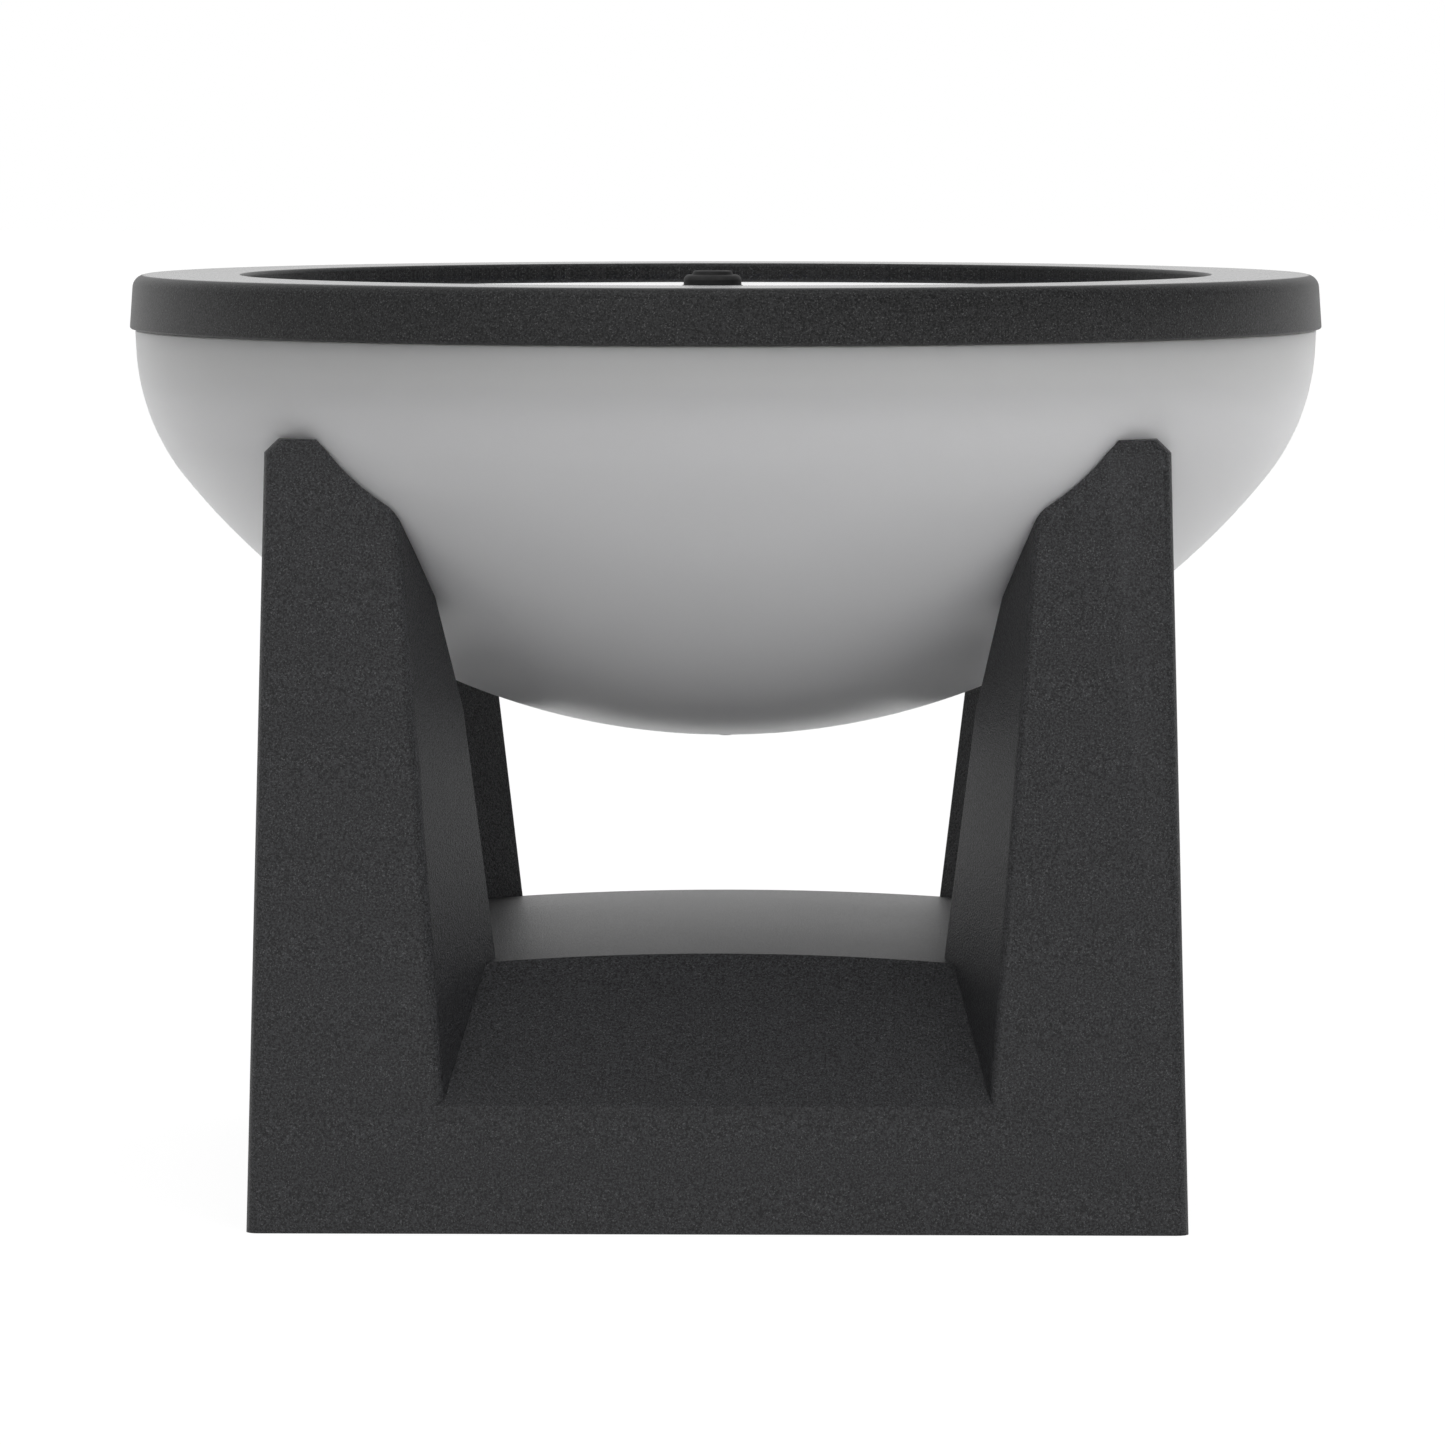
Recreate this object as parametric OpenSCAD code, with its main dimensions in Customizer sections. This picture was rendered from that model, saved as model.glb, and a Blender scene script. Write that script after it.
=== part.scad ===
// Solar bowl lamp: an opal bowl on a four-legged stand, closed by a ring cap
// that carries the solar panel, the battery, the boards and a push button.
// Millimetres, +Z up, origin on the ground under the middle of the stand.

/* [Bowl] */
// Diameter of the bowl at its rim
bowl_d = 198.2; // [194:0.2:204]
// Radius of the wide arc that makes the bottom of the bowl
bowl_crown_r = 116.5; // [112:0.5:124]
// Radius of the tight arc between the bottom and the rim
bowl_shoulder_r = 37; // [33:0.5:41]
// Slope of the short wall below the rim, in degrees
bowl_wall_draft = 2.5; // [1.5:0.5:4]
// Height of that short wall
bowl_wall_h = 3.1; // [2.5:0.1:5]
// Thickness of the bowl
bowl_t = 2.2; // [1.8:0.1:2.8]
// Height of the bowl's lowest point above the ground
bowl_lift = 74.7; // [72:0.1:82]
// Radius of the moulding nub under the bowl
gate_r = 1.3; // [0.8:0.1:2]
// Height of the moulding nub
gate_h = 0.4; // [0.2:0.1:0.8]

/* [Bowl neck and twist lock] */
// How far the neck is set in from the rim
neck_step = 2.2; // [2:0.1:3]
// Thickness of the neck
neck_t = 2; // [1.6:0.1:2.4]
// Height of the neck above the rim
neck_h = 4.75; // [4:0.05:5]
// Width of the lock ledges inside the neck
ledge_w = 1.7; // [1.4:0.1:2]
// Thickness of the lock ledges and hooks
lock_t = 2; // [1.6:0.1:2.4]
// Depth of the ledges' top below the rim
ledge_drop = 1.3; // [1:0.1:2]
// Length of a ledge round the bowl, in degrees
ledge_arc = 22; // [18:1:26]
// Length of a hook round the tray, in degrees
hook_arc = 20; // [16:1:24]
// How far a hook stands out from the tray
hook_reach = 2.1; // [1.8:0.1:2.3]
// Number of ledges, and of hooks
lock_count = 4; // [3:1:6]
// Length of the stop behind a hook, in degrees
stop_arc = 1.8; // [1:0.1:3]

/* [Ring cap] */
// How far the ring stands out past the bowl's rim
ring_overhang = 0.9; // [0.4:0.1:2]
// Height of the ring
ring_h = 9; // [8.6:0.1:12]
// Radius of the ring's rounded upper edge
ring_edge_r = 2; // [1:0.1:2.2]
// How much narrower the ring is at its upper edge than at its lower one, on each side
ring_taper = 0.45; // [0.2:0.05:0.8]
// Thickness of the ring's top
ring_top_t = 2.4; // [2:0.1:2.6]
// Width of the ring's top, from its outside to the recess
ring_top_w = 18.8; // [18:0.1:25]
// Wall of the recess
recess_t = 2; // [1.6:0.1:2.4]
// Depth of the recess down to the panel's face
recess_depth = 1.7; // [1.2:0.1:3.2]
// Radius of the rounded edge of the recess
recess_edge_r = 0.7; // [0.3:0.1:1]
// Thickness of the floor under the panel
floor_t = 1.8; // [1.4:0.1:2.2]

/* [Solar panel] */
// Thickness of the panel's backing board
panel_board_t = 1.4; // [1:0.1:1.6]
// Thickness of the clear layer over the cells
panel_glaze_t = 0.6; // [0.4:0.1:1]
// Thickness of the cells
cell_t = 0.25; // [0.15:0.05:0.3]
// Width of one cell strip
cell_w = 21; // [16:0.5:23]
// Gap between two cell strips
cell_gap = 1.6; // [1:0.1:3]
// Number of cell strips
cell_count = 6; // [4:1:6]
// Bare border round the cells
cell_margin = 6; // [4:0.5:10]
// Thickness of the adhesive tape ring
tape_t = 0.3; // [0.2:0.05:0.5]
// Width of the adhesive tape ring
tape_w = 14; // [8:1:20]

/* [Button] */
// Distance of the button's middle from the panel's edge
button_inset = 22.8; // [19:0.1:30]
// Direction of the button from the axis, in degrees
button_angle = 269; // [266:1:274]
// Diameter of the button
button_d = 9.3; // [8:0.1:10]
// Diameter of the button's wider foot
button_foot_d = 9.8; // [9.4:0.1:10.4]
// Height of that foot above the panel's face
button_foot_h = 1.25; // [1:0.05:1.8]
// Diameter of the flat on top of the button
button_flat_d = 5.8; // [4:0.1:6.5]
// Height of the button above the panel's face
button_h = 3.5; // [3:0.1:5]
// Height of the button's rounded shoulder
button_shoulder_h = 0.9; // [0.5:0.1:1.2]
// Travel of the button
button_travel = 1.4; // [0.8:0.1:1.4]
// Outer diameter of the sealing collar round the button
button_collar_d = 12.1; // [11.6:0.1:13]
// Height of the sealing collar above the panel's face
button_collar_h = 0.9; // [0.6:0.1:1.2]
// Outer diameter of the collar's flat foot
button_collar_foot_d = 15.4; // [15:0.1:17]
// Thickness of the collar's flat foot
button_collar_foot_t = 0.4; // [0.3:0.1:0.6]
// Diameter of the switch's plunger
plunger_d = 3.2; // [2.5:0.1:4]
// Side of the switch's square body
switch_w = 8.5; // [7:0.1:9]
// Height of the switch's body
switch_h = 5.2; // [4:0.1:5.3]

/* [Lamp tray] */
// Depth of the tray below the ring
tray_depth = 14.4; // [14.3:0.1:16]
// Thickness of the tray's wall and floor
tray_t = 1.8; // [1.4:0.1:2]
// Thickness of the tray's floor
tray_floor_t = 1.5; // [1.2:0.1:1.5]
// Radius of the tray's rounded lower corner
tray_corner_r = 3.5; // [2:0.5:4]
// Number of screws that hold the tray
tray_screw_count = 6; // [4:1:8]
// Length of those screws below the head
tray_screw_l = 12; // [8:1:16]

/* [Lamps and boards] */
// Diameter of the lamp board
led_board_d = 70; // [60:1:80]
// Thickness of the boards
board_t = 1.6; // [1:0.1:1.6]
// Number of lamps
led_count = 12; // [6:1:16]
// Radius of the lamps' circle
led_circle_r = 28; // [25:0.5:29]
// Side of one lamp
led_w = 3.5; // [2.8:0.1:5]
// Height of one lamp
led_h = 0.8; // [0.6:0.1:1.2]
// Radius of the circle of the lamp board's screws
led_screw_circle_r = 17; // [12:0.5:19]
// Length of the control board, across the lamp
control_l = 46; // [42:1:60]
// Width of the control board
control_w = 30; // [28:1:32]
// Drop of the control board below the panel's floor
control_drop = 5.5; // [5.5:0.1:6]
// Distance of the parts from the control board's edges
part_edge = 6.5; // [6:0.1:7]
// Length of the controller chip
chip_l = 6; // [4:0.5:6]
// Width of the controller chip
chip_w = 5; // [3:0.5:5]
// Height of the controller chip
chip_h = 1.6; // [1:0.1:2]
// Width of the coil
coil_w = 7; // [5:0.5:7]
// Height of the coil
coil_h = 3; // [2:0.1:4]
// Radius of the capacitor
capacitor_r = 2.5; // [2:0.1:2.5]
// Height of the capacitor
capacitor_h = 4.4; // [3:0.1:4.6]
// Width of the battery plug's socket
plug_w = 4; // [3:0.5:4]
// Length of the battery plug's socket
plug_l = 8; // [6:0.5:8]
// Height of the battery plug's socket
plug_h = 3.5; // [3:0.1:4]
// Length of a resistor
resistor_l = 1.6; // [1:0.1:2]
// Width of a resistor
resistor_w = 0.8; // [0.5:0.1:1]
// Height of a resistor
resistor_h = 0.5; // [0.4:0.1:0.8]
// Distance from one resistor to the next
resistor_pitch = 3.4; // [2.6:0.2:3.6]

/* [Battery] */
// Diameter of the battery cell
battery_d = 14; // [10:0.1:14]
// Length of the battery cell
battery_l = 49; // [40:0.5:50]
// Wall of the battery holder
holder_t = 1.2; // [0.8:0.1:1.6]
// Floor of the battery holder
holder_floor_t = 0.6; // [0.5:0.1:0.8]
// Distance of the battery from the lamp's axis
battery_y = 38; // [34:1:44]
// Room for the contacts at each end of the battery
contact_room = 3; // [2.5:0.1:4]
// Diameter of the contact spring
contact_spring_d = 8; // [6:0.1:9]
// Thickness of the contact wire
contact_wire_d = 0.6; // [0.4:0.1:0.8]

/* [Stand] */
// Width of the stand on the ground
stand_w = 151.3; // [148:0.1:156]
// Inward slope of the stand's outer faces, in degrees
stand_draft = 1.46; // [1:0.02:2]
// Height of the legs
leg_h = 127.3; // [124:0.1:130]
// Chamfer at the legs' tops on the left and right
leg_top_chamfer = 2.1; // [1:0.1:3]
// How far the legs' tops lean in at the front and back, over the chamfer's height
leg_top_lean = 0.4; // [0.2:0.1:3]
// Half gap between two legs at the ground, at the outer faces
leg_gap_half = 42.4; // [38:0.1:44]
// Spread of that gap with height, in degrees
leg_gap_lean = 4.36; // [3:0.02:5]
// Half gap between two legs at the ground, at the inner corners
leg_throat_half = 31.4; // [28:0.1:34]
// Spread of the inner corners with height, in degrees
leg_throat_lean = 6.96; // [6:0.02:7.4]
// Turn of the legs' side faces towards the middle, in degrees
leg_side_turn = 20; // [18:0.5:24]
// Radius of the stand's upright outer corners
corner_r = 2; // [1:0.1:3]
// Radius of the upright edges beside the gaps
gap_edge_r = 2.2; // [0.8:0.1:2.5]
// Radius of the legs' inner corners
throat_edge_r = 0.5; // [0.3:0.1:1]
// Height of the sill between two legs
sill_h = 20.6; // [16:0.1:24]
// Half width of the plinth's top at the middle of its sides
plinth_half = 52.3; // [50:0.1:54]
// Height of the plinth at the middle of its sides
plinth_h = 42.8; // [40:0.1:46]
// Radius of the plinth's domed top
plinth_dome_r = 580; // [400:10:700]
// Wall of the hollow stand
stand_t = 2.6; // [2:0.1:3]

/* [Cradle] */
// Gap between the bowl and the legs
cradle_gap = 0.15; // [0.1:0.05:0.3]
// Height below which the legs leave the bowl
relief_top_z = 110; // [108:0.5:112]
// Height below which the legs' clearance from the bowl is steep
relief_z = 101.5; // [100:0.5:103]
// Radius of the clearance there
relief_r = 76; // [75:0.1:77]
// Slope of the clearance below it, in degrees from upright
relief_slope = 23.2; // [22:0.2:26]

/* [Bowl fixing] */
// Distance of the bowl screws from the axis, less than the rim's radius
bowl_screw_inset = 13.1; // [12:0.1:17]
// Length of the bowl screws below the head
bowl_screw_l = 10; // [8:0.5:12]
// Radius of the screw bosses in the legs
boss_r = 4; // [3.5:0.1:4.5]
// Length of the screw bosses in the legs
boss_l = 9.5; // [9:0.5:11]
// Thickness of the bowl screws' washers
washer_t = 1; // [0.6:0.1:1.5]
// Gap at a washer's middle, where its edge rests on the bowl's curve
washer_lift = 0.1; // [0.1:0.05:0.2]

/* [Screws] */
// Diameter of a screw's shank
screw_d = 3; // [2.5:0.1:3]
// Diameter of a screw's head
screw_head_d = 5.6; // [5:0.1:6]
// Height of a screw's head
screw_head_h = 1.8; // [1.4:0.1:2]
// Diameter of a small screw's shank
small_screw_d = 2; // [1.6:0.1:2.2]
// Diameter of a small screw's head
small_head_d = 3.8; // [3.2:0.1:4]
// Height of a small screw's head
small_head_h = 1.3; // [1:0.1:1.6]
// Length of a small screw below its head
small_screw_l = 5; // [4:0.5:6]

/* [Leads] */
// Diameter of an insulated lead
lead_d = 1.2; // [1:0.1:1.4]
// Straight length of a lead before it bends
lead_bend = 3; // [2.8:0.1:3.2]
// Distance of each lead of a pair from the pair's middle
lead_spread = 1.1; // [1:0.05:1.2]

/* [Hidden] */

$fn = 96;
round_fn = 180;

// Clearances
seat_gap = 0.2;
rim_seal_gap = 0.15;
neck_gap = 0.4;
lock_gap = 0.3;
tray_gap = 0.8;
panel_gap = 0.4;
cell_pocket_gap = 0.05;
button_gap = 0.35;
key_gap = 0.1;
plunger_gap = 0.05;
boss_gap = 0.3;
thread_gap = 0.05;
screw_gap = 0.2;
lead_gap = 0.1;
battery_gap = 0.3;
stop_gap = 0.6;
over = 1;
neck_lip = 0.8;
collar_edge = 0.3;
key_step = 0.25;

// Bowl: crown arc, shoulder arc and short wall, each tangent to the next
rim_r = bowl_d / 2;
bowl_arc_end_r = rim_r - bowl_wall_h * tan(bowl_wall_draft);
bowl_turn = asin((bowl_arc_end_r - bowl_shoulder_r * cos(bowl_wall_draft))
                 / (bowl_crown_r - bowl_shoulder_r));
crown_z = bowl_lift + bowl_crown_r;
shoulder_x = (bowl_crown_r - bowl_shoulder_r) * sin(bowl_turn);
shoulder_z = crown_z - (bowl_crown_r - bowl_shoulder_r) * cos(bowl_turn);
wall_z = shoulder_z - bowl_shoulder_r * sin(bowl_wall_draft);
rim_z = wall_z + bowl_wall_h;
neck_out_r = rim_r - neck_step;
neck_in_r = neck_out_r - neck_t;
neck_top_z = rim_z + neck_h;
ledge_in_r = neck_in_r - ledge_w;
ledge_top_z = rim_z - ledge_drop;
ledge_z = ledge_top_z - lock_t;
hook_top_z = ledge_z - lock_gap;
hook_z = hook_top_z - lock_t;
neck_low_z = hook_z - neck_lip;
lock_pitch = 360 / lock_count;
lock_start = 45;

// Cap, from the ring's lower edge up to its top, then down into the recess
ring_r = rim_r + ring_overhang;
ring_z = rim_z + seat_gap;
ring_top_z = ring_z + ring_h;
ring_under_z = ring_top_z - ring_top_t;
skirt_in_r = neck_out_r + neck_gap;
recess_r = ring_r - ring_top_w;
recess_out_r = recess_r + recess_t;
panel_r = recess_r - panel_gap;
panel_z = ring_top_z - recess_depth;
cells_z = panel_z - panel_glaze_t;
panel_under_z = cells_z - panel_board_t;
floor_top_z = panel_under_z - tape_t;
floor_z = floor_top_z - floor_t;
cell_pitch = cell_w + cell_gap;
cell_field_r = panel_r - cell_margin;

// Tray, hung under the cap
tray_r = ledge_in_r - tray_gap;
tray_in_r = tray_r - tray_t;
tray_z = ring_z - tray_depth;
tray_floor_z = tray_z + tray_floor_t;
tray_top_z = ring_under_z - seat_gap;
tray_screw_r = (recess_out_r + tray_in_r) / 2;
tray_boss_r = (tray_in_r - recess_out_r) / 2 - boss_gap;
tray_screw_pitch = 360 / tray_screw_count;
tray_screw_start = 15;

// Button, switch and control board
button_r = panel_r - button_inset;
button_x = button_r * cos(button_angle);
button_y = button_r * sin(button_angle);
key_r = button_d / 2;
key_foot_r = button_foot_d / 2;
key_foot_top_z = panel_z + button_foot_h;
key_top_z = panel_z + button_h;
key_flange_r = key_foot_r + 1.2;
key_flange_t = 0.6;
key_flange_top_z = panel_z - key_gap;
key_bottom_z = floor_z + button_travel - key_gap;
key_hole_r = key_foot_r + button_gap;
panel_hole_r = key_flange_r + button_gap;
control_top_z = floor_z - control_drop;
control_z = control_top_z - board_t;
control_y = button_y + 9;
switch_top_z = control_top_z + switch_h;
plunger_r = plunger_d / 2;
plunger_z = switch_top_z - 2;
plunger_top_z = key_top_z - 3;
plunger_bore_z = plunger_z - button_travel - key_gap;
parts_x = control_l / 2 - part_edge;
parts_y = control_w / 2 - part_edge;
control_screw_x = control_l / 2 - 3.5;
control_screw_y = control_w / 2 - 3.5;
control_boss_r = 2.8;

// Lamp board
led_board_z = tray_z - board_t;
led_z = led_board_z - led_h;
led_boss_r = 2.6;
led_boss_h = 5;

// Battery
battery_r = battery_d / 2;
battery_z = tray_floor_z + holder_floor_t + battery_r;
holder_in_l = battery_l + 2 * contact_room;
holder_l = holder_in_l + 2 * holder_t;
holder_w = battery_d + 2 * battery_gap + 2 * holder_t;
holder_h = battery_r + 2;
contact_plate_t = 0.4;
contact_plate_w = 9;

// Stand
stand_half = stand_w / 2;
bowl_screw_r = rim_r - bowl_screw_inset;
screw_normal_angle = asin(bowl_screw_r / bowl_crown_r);
leg_angles = [0, 90, 180, 270];
gap_low_z = 8;
gap_reach = 20;
edge_rise = 0.05;
relief_h = 34;
plinth_cap_h = 6;
boss_sink = 1;
profile_steps = 12;

// ---- Small helpers ----

function arc(x, z, r, from, to, n = profile_steps) =
    [for (i = [0:n]) let (t = from + (to - from) * i / n) [x + r * sin(t), z - r * cos(t)]];

function unit(v) = v / norm(v);

// Points that round the corner p1 of the path p0, p1, p2
function fillet(p0, p1, p2, r, n = 4) =
    let (u = unit(p0 - p1), v = unit(p2 - p1), half = acos(u * v) / 2)
    let (d = r / tan(half), c = p1 + unit(u + v) * (r / sin(half)))
    let (a = p1 + u * d - c, b = p1 + v * d - c)
    [for (i = [0:n]) let (w = unit(a * (n - i) + b * i)) c + r * w];

// A solid through rings of equal point counts, each ring clockwise seen from its end.
// An end that isn't convex is given as a list of convex faces, in its ring's indices.
module loft(rings, end = undef) {
    count = len(rings[0]);
    last = (len(rings) - 1) * count;
    points = [for (ring = rings) each ring];
    faces = is_undef(end) ? [[for (i = [0:count - 1]) i]] : end;
    bottom = [for (face = faces) [for (i = [len(face) - 1:-1:0]) face[i]]];
    top = [for (face = faces) [for (i = face) last + i]];
    sides = [for (k = [0:len(rings) - 2], i = [0:count - 1])
        let (j = (i + 1) % count)
        each [[k * count + i, (k + 1) * count + j, (k + 1) * count + i],
              [k * count + i, k * count + j, (k + 1) * count + j]]];
    polyhedron(points = points, faces = concat(bottom, sides, top), convexity = 8);
}

function lifted(section, z) = [for (p = section) [p[0], p[1], z]];

module ring(r_out, r_in, z, h, fn = round_fn) {
    translate([0, 0, z])
        rotate_extrude($fn = fn)
            translate([r_in, 0])
                square([r_out - r_in, h]);
}

module ring_sector(r_out, r_in, z, h, from, sweep) {
    rotate([0, 0, from])
        translate([0, 0, z])
            rotate_extrude(angle = sweep, $fn = round_fn)
                translate([r_in, 0])
                    square([r_out - r_in, h]);
}

module pan_screw(shank_d, length, head_d, head_h) {
    translate([0, 0, -length])
        cylinder(d = shank_d, h = length, $fn = 24);
    rotate_extrude($fn = 32)
        polygon([[0, 0], [head_d / 2, 0], [head_d / 2, head_h * 0.5],
                 [head_d / 2 * 0.7, head_h * 0.9], [0, head_h]]);
}

// A round tube along a smooth curve through hand-set points
function curve_at(p, i, t) =
    let (n = len(p) - 1, a = p[max(i - 1, 0)], b = p[i], c = p[i + 1], d = p[min(i + 2, n)])
    0.5 * (2 * b + (c - a) * t + (2 * a - 5 * b + 4 * c - d) * t * t
           + (3 * b - a - 3 * c + d) * t * t * t);

function smooth_route(p, steps) =
    concat([for (i = [0:len(p) - 2], k = [0:steps - 1]) curve_at(p, i, k / steps)], [p[len(p) - 1]]);

function tube_ring(path, i, r, sides, ref) =
    let (n = len(path) - 1, t = unit(path[min(i + 1, n)] - path[max(i - 1, 0)]))
    let (u = unit(cross(t, ref)), v = cross(t, u))
    [for (k = [0:sides - 1]) let (a = -360 * k / sides) path[i] + r * (cos(a) * u + sin(a) * v)];

module tube(path, r, sides, ref) {
    loft([for (i = [0:len(path) - 1]) tube_ring(path, i, r, sides, ref)]);
}

// ---- Bowl ----

// Outline of the bowl's outer face, moved outwards by grow
function bowl_outline(grow) = concat(
    arc(0, crown_z, bowl_crown_r + grow, 0, bowl_turn, 2 * profile_steps),
    [for (p = arc(shoulder_x, shoulder_z, bowl_shoulder_r + grow,
                  bowl_turn, 90 - bowl_wall_draft)) p],
    [[rim_r + grow / cos(bowl_wall_draft), rim_z]]);

module bowl_body(grow, top_z) {
    rotate_extrude($fn = round_fn)
        polygon(concat(bowl_outline(grow), [[rim_r + grow, top_z], [0, top_z]]));
}

module at_bowl_screws() {
    for (i = [0:3])
        rotate([0, 0, 45 + 90 * i])
            translate([0, 0, crown_z])
                rotate([0, -screw_normal_angle, 0])
                    translate([0, 0, -bowl_crown_r])
                        children();
}

module diffuser_bowl() {
    inner_wall = [for (p = bowl_outline(-bowl_t)) if (p[1] < neck_low_z - 0.3) p];
    color("gainsboro") {
        difference() {
            rotate_extrude($fn = round_fn)
                polygon(concat(
                    bowl_outline(0),
                    [[neck_out_r, rim_z], [neck_out_r, neck_top_z], [neck_in_r, neck_top_z],
                     [neck_in_r, neck_low_z]],
                    [for (i = [len(inner_wall) - 1:-1:0]) inner_wall[i]]));
            at_bowl_screws()
                translate([0, 0, -over])
                    cylinder(d = screw_d + 2 * screw_gap, h = bowl_t + 2 * over, $fn = 32);
        }
        translate([0, 0, bowl_lift - gate_h])
            cylinder(r = gate_r, h = gate_h + bowl_t / 2, $fn = 32);
        for (i = [0:lock_count - 1]) {
            ring_sector(neck_in_r + neck_t / 2, ledge_in_r, ledge_z, lock_t,
                        lock_start + i * lock_pitch - ledge_arc / 2, ledge_arc);
            ring_sector(neck_in_r + neck_t / 2, ledge_in_r, hook_z, ledge_top_z - hook_z,
                        lock_start + i * lock_pitch - hook_arc / 2 - stop_gap - stop_arc, stop_arc);
        }
    }
}

module bowl_screws() {
    color("silver")
        at_bowl_screws()
            translate([0, 0, bowl_t + washer_lift + washer_t])
                pan_screw(screw_d, bowl_screw_l, screw_head_d, screw_head_h);
}

module bowl_screw_washers() {
    color("dimgray")
        at_bowl_screws()
            translate([0, 0, bowl_t + washer_lift])
                ring(screw_head_d / 2 + 0.9, screw_d / 2 + thread_gap, 0, washer_t, 48);
}

// ---- Stand ----

function outer_half(z, inset) = stand_half - z * tan(stand_draft) - inset;

function block_section(x, y, r) = concat(
    fillet([-x, y], [x, y], [x, -y], r),
    fillet([x, y], [x, -y], [-x, -y], r),
    fillet([x, -y], [-x, -y], [-x, y], r),
    fillet([-x, -y], [-x, y], [x, y], r));

function square_section(half, r) = block_section(half, half, r);

// The stand's outer block, its faces moved inwards by inset
module outer_block(inset, z_low) {
    top_z = leg_h - inset;
    chamfer_z = top_z - leg_top_chamfer;
    top_half = outer_half(top_z, inset);
    soft_r = inset > 0 ? corner_r / 2 : corner_r;
    loft([lifted(square_section(outer_half(z_low, inset), soft_r), z_low),
          lifted(square_section(outer_half(chamfer_z, inset), soft_r), chamfer_z),
          lifted(block_section(top_half - leg_top_chamfer, top_half - leg_top_lean, soft_r),
                 top_z)]);
}

// Half of the gap's edge round one leg at height z, from outside to the leg's inner corner
function gap_edge(z, inset) =
    let (a0 = outer_half(z, 0), k = tan(leg_side_turn))
    let (g0 = leg_gap_half + z * tan(leg_gap_lean), c0 = leg_throat_half + z * tan(leg_throat_lean))
    let (e0 = a0 - (g0 - c0) / k, s = c0 + e0 + inset * sqrt(2))
    let (x0 = g0 + inset / cos(leg_side_turn), e = (s - x0 + a0 * k) / (1 + k), c = s - e)
    let (a = a0 - inset + edge_rise, g = x0 - (a0 - a) * k)
    let (bend = fillet([a, a], [g, a], [c, e], gap_edge_r))
    concat([[bend[0][0], a + gap_reach]], bend, fillet([g, a], [c, e], [e, c], throat_edge_r));

function gap_section(z, inset) =
    let (half = gap_edge(z, inset), n = len(half) - 1)
    let (side = concat(half, [for (i = [n:-1:0]) [half[i][1], half[i][0]]]))
    [for (turn = leg_angles, p = side)
        [p[0] * cos(turn) + p[1] * sin(turn), p[1] * cos(turn) - p[0] * sin(turn)]];

// The gaps' plan in convex faces: strips across each gap and one face in the middle
function gap_faces(edge_count) =
    let (side_count = 2 * edge_count)
    let (near = [for (k = [0:3]) [for (i = [0:edge_count - 1]) k * side_count + i]])
    let (far = [for (k = [0:3])
        [for (i = [0:edge_count - 1]) ((k + 3) % 4) * side_count + side_count - 1 - i]])
    concat(
        [for (k = [0:3], i = [0:edge_count - 2]) [far[k][i], near[k][i], near[k][i + 1], far[k][i + 1]]],
        [[for (k = [0:3]) each [far[k][edge_count - 1], near[k][edge_count - 1]]]]);

plinth_run = (outer_half(sill_h, 0) - plinth_half) / (plinth_h - sill_h);

function slope_half(z, inset) =
    plinth_half + (plinth_h - z) * plinth_run - inset * sqrt(1 + plinth_run * plinth_run);

// The plinth: four sloped faces under a gently domed top, moved inwards by inset
module plinth(inset) {
    low_z = gap_low_z - over;
    high_z = plinth_h + plinth_cap_h;
    intersection() {
        loft([lifted(square_section(slope_half(low_z, inset), corner_r), low_z),
              lifted(square_section(slope_half(high_z, inset), corner_r), high_z)]);
        translate([0, 0, plinth_h + plinth_half * plinth_half / (2 * plinth_dome_r) - plinth_dome_r])
            sphere(r = plinth_dome_r - inset, $fn = round_fn);
    }
}

// Space that the legs leave for the bowl, moved into the legs by extra
module cradle(extra) {
    grow = cradle_gap + extra;
    bowl_body(grow, leg_h + over);
    rotate_extrude($fn = round_fn)
        polygon([[0, relief_z - relief_h],
                 [relief_r + grow - relief_h * tan(relief_slope), relief_z - relief_h],
                 [relief_r + grow, relief_z],
                 [sqrt(bowl_crown_r ^ 2 - (crown_z - relief_top_z) ^ 2) + grow, relief_top_z],
                 [0, relief_top_z]]);
}

// The stand as one solid block, its outside moved inwards by inset
module stand_block(inset, z_low) {
    difference() {
        outer_block(inset, z_low);
        difference() {
            loft([lifted(gap_section(gap_low_z, inset), gap_low_z),
                  lifted(gap_section(leg_h + over, inset), leg_h + over)],
                 gap_faces(len(gap_edge(gap_low_z, inset))));
            plinth(inset);
        }
        cradle(inset);
    }
}

module stand() {
    color([0.22, 0.22, 0.23])
        difference() {
            union() {
                difference() {
                    stand_block(0, 0);
                    stand_block(stand_t, -over);
                }
                at_bowl_screws()
                    translate([0, 0, -boss_l])
                        cylinder(r = boss_r, h = boss_l - boss_sink, $fn = 32);
            }
            at_bowl_screws()
                translate([0, 0, -boss_l + over])
                    cylinder(d = screw_d + 2 * thread_gap, h = boss_l, $fn = 32);
        }
}

// ---- Cap ----

module at_tray_screws() {
    for (i = [0:tray_screw_count - 1])
        rotate([0, 0, tray_screw_start + i * tray_screw_pitch])
            translate([tray_screw_r, 0, 0])
                children();
}

module at_control_screws() {
    for (sx = [-1, 1], sy = [-1, 1])
        translate([button_x + sx * control_screw_x, control_y + sy * control_screw_y, 0])
            children();
}

panel_lead_x = button_x;
panel_lead_y = control_y + control_w / 2 + 6;
lead_hole_r = 3;

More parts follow.
